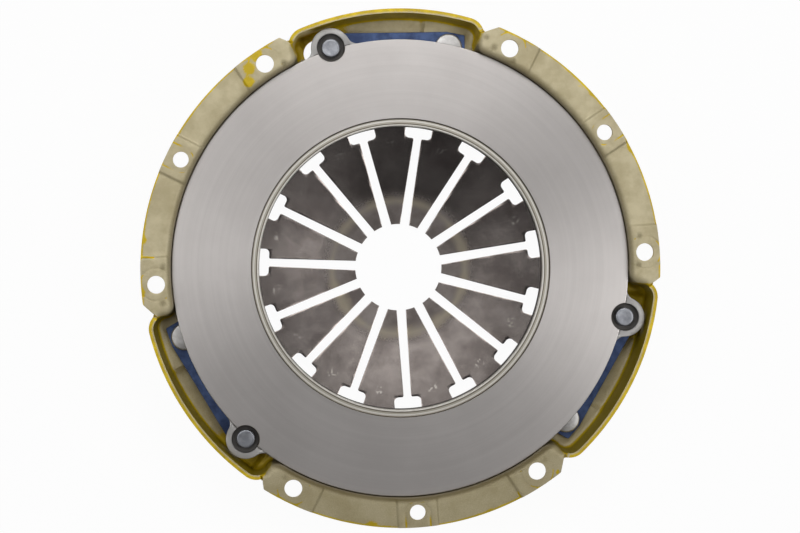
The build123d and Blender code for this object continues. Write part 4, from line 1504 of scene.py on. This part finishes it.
def slot_outline():
    """Outline of one slot along +X: straight sides that spread inwards, and a rounded window."""
    start, end, half, corner, mouth = 67.2, 84.9, 7.0, 2.3, 0.8
    side = [(15, -2.5), (start - mouth, -1.98)]
    side += [(start - mouth * (1 - math.sin(turn)), -1.95 - mouth * (1 - math.cos(turn)))
             for turn in quarter(3)]
    corners = ((start + corner, -half + corner, 180), (end - corner, -half + corner, 270),
               (end - corner, half - corner, 0), (start + corner, half - corner, 90))
    points = list(side)
    for x, y, first in corners:
        turns = [math.radians(first + 90 / 6 * step) for step in range(7)]
        points += [(x + corner * math.cos(turn), y + corner * math.sin(turn)) for turn in turns]
    return points + [(x, -y) for x, y in reversed(side)]


spring_piece = lathe("diaphragm_spring_disc", spring_section(), 360)
punch = prism("punch", slot_outline(), -45, -15)
punches = [moved_copy(punch, "punch_copy", turn_z(turn)) for turn in FULCRUM_TURNS]
bpy.data.objects.remove(punch)
cut_away(spring_piece, punches)
round_edges(spring_piece, 0.28, 2, 50)
smooth_shade(spring_piece, 35)
finish_piece(spring_piece, "diaphragm", ["diaphragm_spring"], "spring_steel")
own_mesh(spring_piece)

# %% [markdown]
# Each drive strap is a pack of three thin leaves. A leaf is a bar whose outer corners are cut
# back at a shallow slant, bent by an easy rise from the cover's pad to the lug. Planes cut it
# across where it bends, so the rise has points to bend at.

# %% Drive straps, in mm
LEAF = 0.8
LEAF_GAP = 0.02
LEAF_WIDTH = 16.0
LEAF_MARGIN = 8.5
CORNER_RUN, CORNER_DROP = 9.2, 1.9
LEAF_FLAT = 10.5
LEAF_RISE = 1.4
LEAF_CUTS = 18


def flat_leaf():
    """One leaf along +X before it is bent, with its underside at height zero."""
    start, end, side = -LEAF_MARGIN, STRAP_LENGTH + LEAF_MARGIN, LEAF_WIDTH / 2
    slant = CORNER_DROP - side
    outline = [(start, side - 0.5), (start, slant + 0.4), (start + 0.5, slant - 0.1)]
    outline += [(start + CORNER_RUN, -side), (end - CORNER_RUN, -side), (end - 0.5, slant - 0.1)]
    outline += [(end, slant + 0.4), (end, side - 0.5), (end - 0.5, side), (start + 0.5, side)]
    piece = prism("leaf_blank", outline, 0, LEAF)
    edit(piece)
    for x in between(LEAF_FLAT - 2, STRAP_LENGTH - LEAF_FLAT + 2, LEAF_CUTS):
        bpy.ops.mesh.select_all(action="SELECT")
        bpy.ops.mesh.bisect(plane_co=(x * MM, 0, 0), plane_no=(1, 0, 0))
    bpy.ops.object.mode_set(mode="OBJECT")
    cut_away(piece, [pin(RIVET_HOLE, -2, 3, 0, 0), pin(RIVET_HOLE, -2, 3, STRAP_LENGTH, 0)])
    round_edges(piece, 0.12, 1, 60)
    return piece


def bent(piece, low):
    """Lifts the leaf to its level and bends it up to the lug."""
    for vertex in piece.data.vertices:
        share = ease(vertex.co.x * 1000, LEAF_FLAT, STRAP_LENGTH - LEAF_FLAT)
        vertex.co.z += (low + LEAF_RISE * share) * MM


leaf_blank = flat_leaf()
heading = Matrix.Rotation(STRAP_HEADING, 4, "Z")
strap_place = Matrix.Translation((STRAP_START[0] * MM, STRAP_START[1] * MM, 0)) @ heading
flat_share = LEAF_FLAT / STRAP_LENGTH
for number, pocket in enumerate(POCKETS, start=1):
    start = at(COVER_RIVET[0], pocket + COVER_RIVET[1])
    end = at(LUG_RIVET[0], pocket + LUG_RIVET[1])
    for part in (flat_share, 1 - flat_share):
        x, y = (a + (b - a) * part for a, b in zip(start, end))
    for level in range(3):
        leaf = moved_copy(leaf_blank, f"strap_{number}_leaf_{level + 1}", Matrix.Identity(4))
        bent(leaf, PAD_Z + level * (LEAF + LEAF_GAP))
        leaf.data.transform(turn_z(pocket) @ strap_place)
        smooth_shade(leaf, 30)
        finish_piece(leaf, None, [f"drive_strap_{number}_leaf_{level + 1}"], "strap_steel")
        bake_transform(leaf)
bpy.data.objects.remove(leaf_blank)

# %% [markdown]
# The rivets are turned shapes. A formed rivet head is never a plain cylinder: it has a rounded
# shoulder, and a tail that was pressed up carries the shallow dish of the punch.

# %% Rivets, in mm
PACK_TOP = PAD_Z + 3 * LEAF + 2 * LEAF_GAP + 0.02
COVER_UNDER = PAD_Z - SHEET - 0.02
LUG_SEAT = -11.58
LUG_UNDER = LUG_BACK_Z - 3 * LEAF - 2 * LEAF_GAP - 0.02


def domed(radius, height, shoulder, dish=0.0, steps=5):
    """Half of a head's section from its rim up to the axis, standing on height zero."""
    turns = [math.pi / 2 / steps * step for step in range(steps + 1)]
    points = [(radius - shoulder * (1 - math.cos(turn)), height - shoulder * (1 - math.sin(turn)))
              for turn in turns]
    if dish:
        rim = radius - shoulder
        points += [(rim * 0.8, height - dish * 0.25), (rim * 0.5, height - dish * 0.8), (0, height - dish)]
    else:
        points += [(0, height + 0.15)]
    return points


def cover_rivet_section():
    """Small foot under the cover's sheet and a flat round head on the pack."""
    under = [(0, COVER_UNDER - 1.8), (4.6, COVER_UNDER - 1.8), (5.3, COVER_UNDER - 1.1), (5.5, COVER_UNDER)]
    head = [(r, PACK_TOP + h) for r, h in domed(6.9, 1.8, 0.8)]
    return under + [(3.0, COVER_UNDER), (3.0, PACK_TOP), (6.9, PACK_TOP)] + head


def lug_rivet_section():
    """Foot under the pack and a dished tail, pressed up in the lug's counterbore."""
    under = [(0, LUG_UNDER - 2.0), (5.0, LUG_UNDER - 2.0), (5.6, LUG_UNDER - 1.4), (5.8, LUG_UNDER)]
    tail = [(r, LUG_SEAT + h) for r, h in domed(4.7, 3.0, 0.7, 0.18)]
    return under + [(3.0, LUG_UNDER), (3.0, LUG_SEAT), (4.7, LUG_SEAT)] + tail


def fulcrum_rivet_section():
    """Foot under the cover's back, a shoulder through the spring's slot and a head above it."""
    under = [(0, -39.67), (3.8, -39.67), (4.8, -38.9), (5.0, -36.87)]
    head = [(r, -23.82 + h) for r, h in domed(6.0, 2.0, 1.3)]
    return under + [(3.0, -36.87), (3.0, -33.83), (3.55, -33.83), (3.55, -23.82), (6.0, -23.82)] + head


cover_rivet = lathe("cover_rivet", cover_rivet_section(), 48)
lug_rivet = lathe("lug_rivet", lug_rivet_section(), 48)
for number, pocket in enumerate(POCKETS, start=1):
    for source, body, node, (radius, turn) in ((cover_rivet, "cover", "strap_cover_rivet", COVER_RIVET),
                                               (lug_rivet, "pressure_plate", "strap_lug_rivet", LUG_RIVET)):
        x, y = at(radius, pocket + turn)
        copy = moved_copy(source, f"{source.name}_{number}", Matrix.Translation((x * MM, y * MM, 0)))
        smooth_shade(copy, 35)
        finish_piece(copy, body, [f"{node}_{number}"], "rivet_steel")
        if source is lug_rivet:
            copy.data.materials[0] = dull_tail
bpy.data.objects.remove(cover_rivet)
bpy.data.objects.remove(lug_rivet)
rivet = lathe("fulcrum_rivet", fulcrum_rivet_section(), 36)
row = []
for turn in FULCRUM_TURNS:
    x, y = at(FULCRUM_CIRCLE, turn)
    row.append(moved_copy(rivet, "rivet", Matrix.Translation((x * MM, y * MM, 0))))
bpy.data.objects.remove(rivet)
rivet_row = joined(row, "fulcrum_rivet_row")
smooth_shade(rivet_row, 35)
finish_piece(rivet_row, "cover", ["fulcrum_rivets"], "rivet_steel")

# %% [markdown]
# Two pieces stay as the frame has them: the fulcrum rings, which hardly show. They only need
# their finish, which the frame's own record names for every node.

# %% Finishes on the frame's own pieces
slot_of = {entry["node"]: entry["material_slot"] for entry in frame["record"]["subparts"]}
for name, piece in nodes.items():
    piece.data.materials.clear()
    piece.data.materials.append(finishes[slot_of[name]])
print("finishes laid on", len(nodes), "frame pieces")
